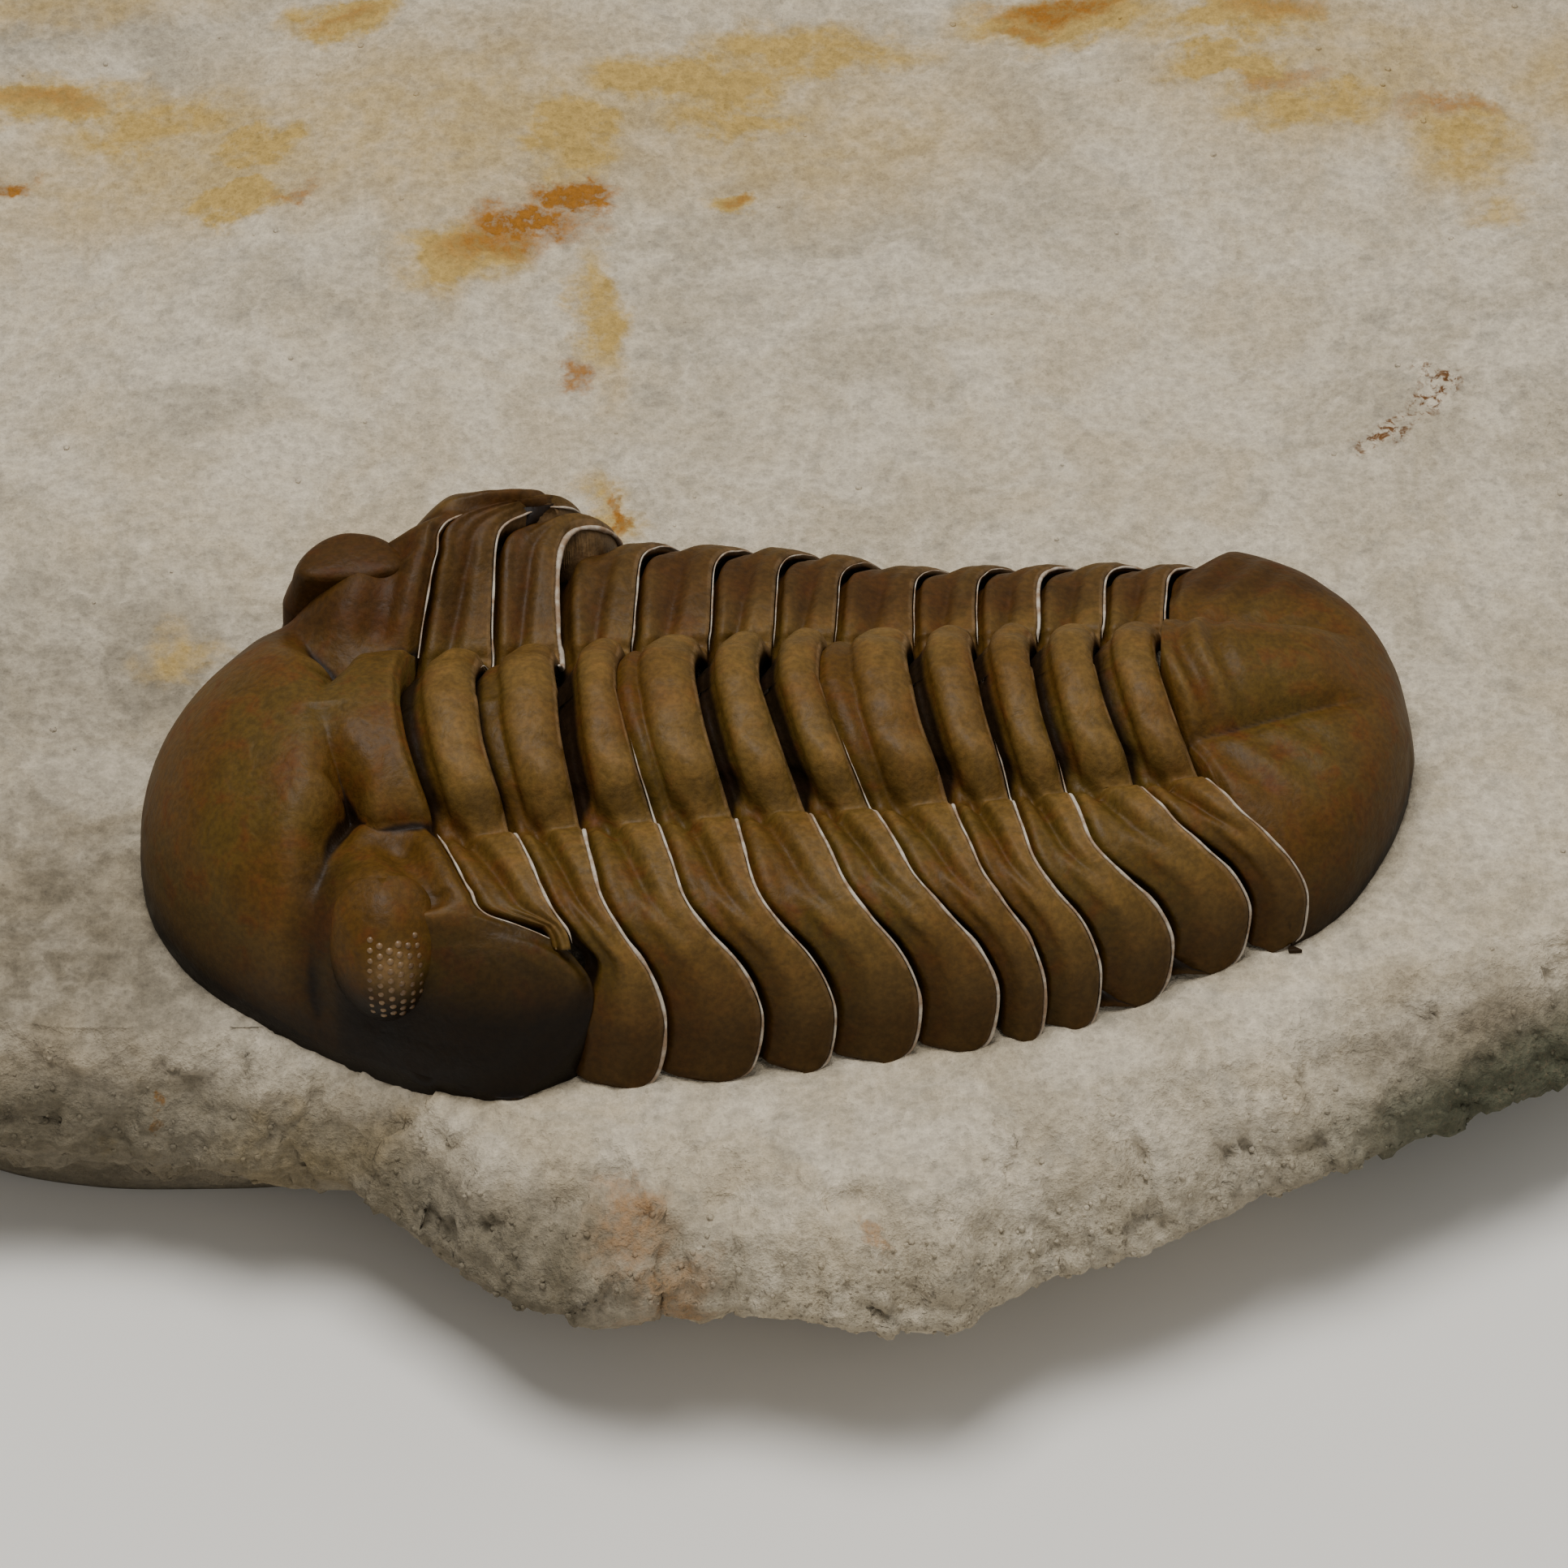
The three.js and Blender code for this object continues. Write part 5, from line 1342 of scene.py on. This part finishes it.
class TrilobiteColors(PropertyGroup):
    """Colours of the fossil and of its stone."""

    shell_brown: color_setting("Brown", "Main brown of the exoskeleton", linear(80, 54, 15))
    shell_olive: color_setting("Olive", "Greener brown in broad patches", linear(80, 60, 20))
    shell_rust: color_setting("Rust", "Redder brown in patches and on the far side", linear(76, 42, 10))
    # painted highlight on the crests and on the near eye
    shell_crest_highlight: color_setting("Caramel", "Lighter brown on crests", linear(106, 80, 38))
    # pale rim of a plate, and painted highlight on the near eye
    shell_rim_and_highlight: color_setting("Edge", "Pale rim of a plate", linear(138, 110, 76))
    shell_umber: color_setting("Umber", "Dark brown low on the flanks", linear(50, 32, 9))
    # painted shade beside and under the eyes, in the creases and at the feet
    shell_painted_shade: color_setting("Gloom", "Blackish brown beside and under the near eye", linear(17, 10, 3))
    # painted shade with dirt in the grooves, and painted shade under the plates
    shell_groove_shade_and_dirt: color_setting("Hollow", "Near black in the grooves", linear(15, 8, 4))
    rock_pale: color_setting("Pale rock", "Lightest tone of the limestone", linear(200, 187, 164))
    rock_beige: color_setting("Beige rock", "Warmer tone of the limestone", linear(186, 170, 142))
    rock_grey: color_setting("Grey rock", "Grey mottling", linear(146, 138, 122))
    # painted shade on the left and on the broken sides, and the dark specks
    rock_shade: color_setting("Shaded rock", "Darker rock at the left and low down", linear(92, 82, 64))
    rock_wash: color_setting("Pale ochre", "Wide washes round the iron stains", linear(176, 146, 82))
    rock_ochre: color_setting("Ochre", "Iron stains", linear(142, 92, 26))
    rock_crack: color_setting("Crack", "Brown filling of the crack", linear(98, 62, 26))
    # greenish tone with painted shade on the right broken side; its darkness is shade, not weathering
    rock_green_and_shade: color_setting("Green rock", "Dark greenish weathered side", linear(72, 74, 56))
    seam_white: color_setting("Seam white", "Calcite in the joints", linear(184, 172, 154))
    seam_tan: color_setting("Seam tan", "Stained calcite in the joints", linear(136, 110, 84))
    lens_pale: color_setting("Lens pale", "Palest lenses", linear(112, 86, 54))
    lens_tan: color_setting("Lens tan", "Browner lenses", linear(78, 54, 26))


class TrilobiteSizes(PropertyGroup):
    """Sizes of the small parts, in metres."""

    seam: length_setting("Seam", "Radius of the calcite in a joint", 0.000045)
    lens: length_setting("Lens", "Radius of one lens of the eye", 0.000112)
    grain_small: length_setting("Smallest grain", "Smallest grain strewn on the slab", 0.00003)
    grain_large: length_setting("Largest grain", "Largest grain strewn on the slab", 0.00011)
    grain_density: FloatProperty(
        name="Grains", description="Grains for each square metre low down", default=3.0e6, min=0)
    seed: IntProperty(name="Seed", description="Fixed seed of everything random", default=7, min=0)


class TrilobiteStage(PropertyGroup):
    """Camera and lights."""

    azimuth: FloatProperty(name="Azimuth", description="Way that the camera looks, from +Y towards +X",
                           default=math.radians(6), subtype="ANGLE")
    elevation: FloatProperty(name="Elevation", description="How steeply the camera looks down",
                             default=math.radians(46), subtype="ANGLE")
    distance: FloatProperty(
        name="Distance", description="From the camera to the animal", default=0.208, unit="LENGTH")
    lens: FloatProperty(name="Focal length", description="In millimetres", default=192.0, min=1)
    key: FloatProperty(
        name="Key light", description="Power of the light from above", default=1.0, unit="POWER")
    fill: FloatProperty(
        name="Fill lights", description="Power of each light from the side", default=0.12, unit="POWER")
    sky: FloatProperty(name="Sky", description="Strength of the even light", default=0.30, min=0)
    floor_color: color_setting("Floor", "Colour of the floor", linear(226, 222, 214))


class StepOperator(Operator):
    """Common parts of the steps."""

    bl_options = {"REGISTER", "UNDO"}

    @property
    def colors(self):
        return bpy.context.scene.trilobite_colors

    @property
    def sizes(self):
        return bpy.context.scene.trilobite_sizes


def material_of(name, maker, colors):
    """A finish is made once and then shared."""
    found = bpy.data.materials.get(name)
    return found if found else maker(colors)


def shell_finish(colors):
    return material_of("exoskeleton_calcite", exoskeleton_material, colors)


def rock_finish(colors):
    return material_of("pale_limestone", limestone_material, colors)


class TRILOBITE_OT_slab(StepOperator):
    """Builds the slab of limestone"""

    bl_idname = "trilobite.slab"
    bl_label = "Slab"

    def execute(self, context):
        obj = slab_skin().piece("limestone_slab", rock_finish(self.colors))
        settle(obj, "limestone", "matrix_rock")
        return {"FINISHED"}


class TRILOBITE_OT_grains(StepOperator):
    """Strews broken grains over the slab"""

    bl_idname = "trilobite.grains"
    bl_label = "Grains"

    def execute(self, context):
        slab = bpy.data.objects["limestone_slab"]
        base = slab.copy()
        base.data = slab.data.copy()
        context.collection.objects.link(base)
        place = np.zeros(len(base.data.vertices) * 3)
        base.data.vertices.foreach_get("co", place)
        x, y, z = (place.reshape(-1, 3) * 1000 - BODY_AT).T
        near_animal = np.hypot(np.maximum(0, np.abs(x - 9) - 9), np.abs(y))
        density = mix(1.0, 0.02, smooth(-5.6, -4.6, z))
        density *= smooth(-8.5, -7.0, z) * smooth(7.6, 9.5, near_animal)
        layer = base.data.attributes.new("density", "FLOAT", "POINT")
        layer.data.foreach_set("value", density.astype(np.float32))
        sizes = self.sizes
        obj = grown("limestone_grains", base, grain_tree("strewn_grains", 1), Density=sizes.grain_density,
                    Smallest=sizes.grain_small, Largest=sizes.grain_large, Flatness=0.75, Seed=sizes.seed,
                    Material=rock_finish(self.colors))
        settle(obj, "limestone")
        return {"FINISHED"}


class TRILOBITE_OT_head(StepOperator):
    """Builds the cephalon and its eyes"""

    bl_idname = "trilobite.head"
    bl_label = "Head"

    def execute(self, context):
        finish = shell_finish(self.colors)
        settle(head_skin().piece("cephalon_shield", finish), "exoskeleton", "cephalon")
        points, sizes = [], []
        for side, label in ((-1, "near"), (1, "far")):
            skin, rings, t, levels = eye_skin(side)
            settle(skin.piece(f"eye_{label}", finish), "exoskeleton")
            found, size = lens_points(rings, t, levels, -0.05 if side < 0 else -0.9)
            points.extend(found)
            sizes.extend(size)
        points = (np.array(points) + BODY_AT) * MM
        base = point_base("lens_points", points, [], {"size": sizes})
        lens = material_of("eye_lens_calcite", lens_material, self.colors)
        obj = grown("eye_lenses", base, lens_tree(), Radius=self.sizes.lens, Material=lens)
        settle(obj, "exoskeleton")
        return {"FINISHED"}


def lens_points(rings, t, levels, top):
    """Places of the lenses: upright files on the outer wall of an eye, every other one shifted."""
    points, sizes = [], []
    files = np.radians(np.linspace(54, 110, 6))
    middle = rings.mean(axis=1, keepdims=True)
    sunk = rings + (middle - rings) * (1, 1, 0) * 0.060
    for number, angle in enumerate(files):
        column = angle / (2 * math.pi) * len(t)
        low, share = int(column), column % 1
        wall = mix(sunk[:, low], sunk[:, (low + 1) % len(t)], share)
        lengths = np.concatenate(((0,), np.cumsum(np.linalg.norm(np.diff(wall, axis=0), axis=1))))
        start = np.interp(-2.15, levels, lengths)
        stop = np.interp(top, levels, lengths)
        for along in np.arange(start + (0.13 if number % 2 else 0.0), stop, 0.262):
            points.append([np.interp(along, lengths, wall[:, k]) for k in range(3)])
            sizes.append(1.0 - 0.20 * abs(angle - math.radians(81)) / math.radians(37))
    return points, sizes


class TRILOBITE_OT_thorax(StepOperator):
    """Builds the eleven segments of the thorax"""

    bl_idname = "trilobite.thorax"
    bl_label = "Thorax"

    def execute(self, context):
        finish = shell_finish(self.colors)
        for i in range(1, 12):
            obj = segment_skin(i).piece(f"thorax_plate_{i:02d}", finish)
            settle(obj, "exoskeleton", f"thoracic_segment_{i:02d}")
        return {"FINISHED"}


class TRILOBITE_OT_tail(StepOperator):
    """Builds the pygidium"""

    bl_idname = "trilobite.tail"
    bl_label = "Tail"

    def execute(self, context):
        obj = tail_skin().piece("pygidium_shield", shell_finish(self.colors))
        settle(obj, "exoskeleton", "pygidium")
        return {"FINISHED"}


class TRILOBITE_OT_seams(StepOperator):
    """Fills the joints between the plates with pale calcite"""

    bl_idname = "trilobite.seams"
    bl_label = "Seams"

    def execute(self, context):
        lines = []
        for i, (near_width, far_width, near_start, far_start) in enumerate(SEAMS):
            for side, share, start in ((-1, near_width, near_start), (1, far_width, far_start)):
                if i == 0:
                    line, s = head_edge_line(side)
                else:
                    last = TIP - 0.15 if i > 1 else (TIP - 1.6 if side > 0 else TIP - 3.9)
                    s = np.linspace(start, last, SEAM_POINTS)
                    line = rear_edge(i, s, side, 0.16 if i == 2 and side > 0 else 0.03)
                line[:, 0] += 0.05
                width = 1 + 0.35 * ripple(np.column_stack((s * 2.4, 0 * s + i, 0 * s + side)), 1.0, 91)
                thin = mix(0.45, 1.0, smooth(2.6, 3.6, s)) if side < 0 else 1.0
                ends = smooth(start, start + 0.6, s) * (1 - smooth(s[-1] - 0.5, s[-1], s))
                width = share * width * ends * thin
                lines.append((line, width))
        base = line_base("seam_lines", lines)
        finish = material_of("seam_calcite", seam_material, self.colors)
        obj = grown("seam_filling", base, seam_tree(), Width=self.sizes.seam, Sides=8, Material=finish)
        settle(obj, "limestone")
        return {"FINISHED"}


def head_edge_line(side):
    """The line along the head's rear edge, from the axis to the genal angle."""
    y = side * np.linspace(3.0, 6.6, SEAM_POINTS)
    x = head_rear(y)
    z = head_height(x - 0.10, y) - 0.06
    return np.column_stack((x, y, z)), np.linspace(3.1, 9.0, SEAM_POINTS)


class TRILOBITE_OT_stage(StepOperator):
    """Lays the floor and sets the camera and the lights"""

    bl_idname = "trilobite.stage"
    bl_label = "Stage"

    def execute(self, context):
        stage = context.scene.trilobite_stage
        lay_floor(stage)
        place_camera(stage)
        place_lights(stage)
        return {"FINISHED"}


def lay_floor(stage):
    """The floor that the slab lies on."""
    mesh = bpy.data.meshes.new("floor")
    corners = [(x * FLOOR, y * FLOOR, 0) for x, y in ((-1, -1), (1, -1), (1, 1), (-1, 1))]
    mesh.from_pydata(corners, [], [(0, 1, 2, 3)])
    material, graph, shader, place = new_material("floor_paper")
    tone = graph.noise(place, 40.0, 2.0)
    darker = [c * 0.97 for c in stage.floor_color]
    color = graph.blend(graph.spread(tone, 0.3, 0.7), stage.floor_color, darker)
    graph.feed(shader.inputs["Base Color"], color)
    shader.inputs["Roughness"].default_value = 0.9
    mesh.materials.append(material)
    floor = bpy.data.objects.new("floor", mesh)
    bpy.context.collection.objects.link(floor)


def view_axes(stage):
    """The camera's right, its way of looking and its up."""
    a, e = stage.azimuth, stage.elevation
    right = Vector((math.cos(a), -math.sin(a), 0))
    ahead = Vector((math.sin(a) * math.cos(e), math.cos(a) * math.cos(e), -math.sin(e)))
    return right, ahead, right.cross(ahead)


def place_camera(stage):
    """The camera, aimed at the middle of the picture."""
    right, ahead, up = view_axes(stage)
    camera = bpy.data.cameras.new("camera")
    camera.lens = stage.lens
    camera.clip_start = 0.01
    camera.clip_end = 20
    obj = bpy.data.objects.new("camera", camera)
    middle = Vector(body_point(0, 0)) + right * FRAME_RIGHT - up * FRAME_DOWN
    obj.location = middle - ahead * stage.distance
    obj.rotation_euler = ahead.to_track_quat("-Z", "Y").to_euler()
    bpy.context.collection.objects.link(obj)
    bpy.context.scene.camera = obj


def place_lights(stage):
    """Three soft lights and an even sky."""
    target = Vector(body_point(9, 2, -2))
    for name, way, size, power in (
        ("key_light", (-0.12, 0.12, 1.3), 0.16, stage.key),
        ("fill_light", (0.3, -1.1, 0.7), 0.25, stage.fill),
        ("side_light", (1.2, 0.4, 0.8), 0.20, stage.fill),
    ):
        light = bpy.data.lights.new(name, "AREA")
        light.shape = "SQUARE"
        light.size = size
        light.energy = power
        obj = bpy.data.objects.new(name, light)
        direction = Vector(way).normalized()
        obj.location = target + direction * LIGHT_AWAY
        obj.rotation_euler = direction.to_track_quat("Z", "Y").to_euler()
        bpy.context.collection.objects.link(obj)
    world = bpy.data.worlds.new("soft_sky")
    world.use_nodes = True
    background = world.node_tree.nodes["Background"]
    background.inputs["Color"].default_value = (1.0, 0.985, 0.96, 1)
    background.inputs["Strength"].default_value = stage.sky
    bpy.context.scene.world = world


class TRILOBITE_PT_panel(Panel):
    """The steps and their values, in the sidebar"""

    bl_idname = "TRILOBITE_PT_panel"
    bl_label = "Trilobite"
    bl_space_type = "VIEW_3D"
    bl_region_type = "UI"
    bl_category = "Trilobite"

    def draw(self, context):
        for step in STEPS:
            self.layout.operator(step.bl_idname)
        scene = context.scene
        for group in (scene.trilobite_colors, scene.trilobite_sizes, scene.trilobite_stage):
            box = self.layout.box()
            for name in group.bl_rna.properties.keys():
                if name not in ("rna_type", "name"):
                    box.prop(group, name)


STEPS = (
    TRILOBITE_OT_slab, TRILOBITE_OT_grains, TRILOBITE_OT_head, TRILOBITE_OT_thorax, TRILOBITE_OT_tail,
    TRILOBITE_OT_seams, TRILOBITE_OT_stage,
)
GROUPS = (
    ("trilobite_colors", TrilobiteColors),
    ("trilobite_sizes", TrilobiteSizes),
    ("trilobite_stage", TrilobiteStage),
)


def register():
    for name, group in GROUPS:
        bpy.utils.register_class(group)
        setattr(bpy.types.Scene, name, PointerProperty(type=group))
    for step in STEPS:
        bpy.utils.register_class(step)
    bpy.utils.register_class(TRILOBITE_PT_panel)


def unregister():
    bpy.utils.unregister_class(TRILOBITE_PT_panel)
    for step in reversed(STEPS):
        bpy.utils.unregister_class(step)
    for name, group in reversed(GROUPS):
        delattr(bpy.types.Scene, name)
        bpy.utils.unregister_class(group)


def main():
    register()
    for step in STEPS:
        group, name = step.bl_idname.split(".")
        getattr(getattr(bpy.ops, group), name)()


if __name__ == "__main__":
    main()
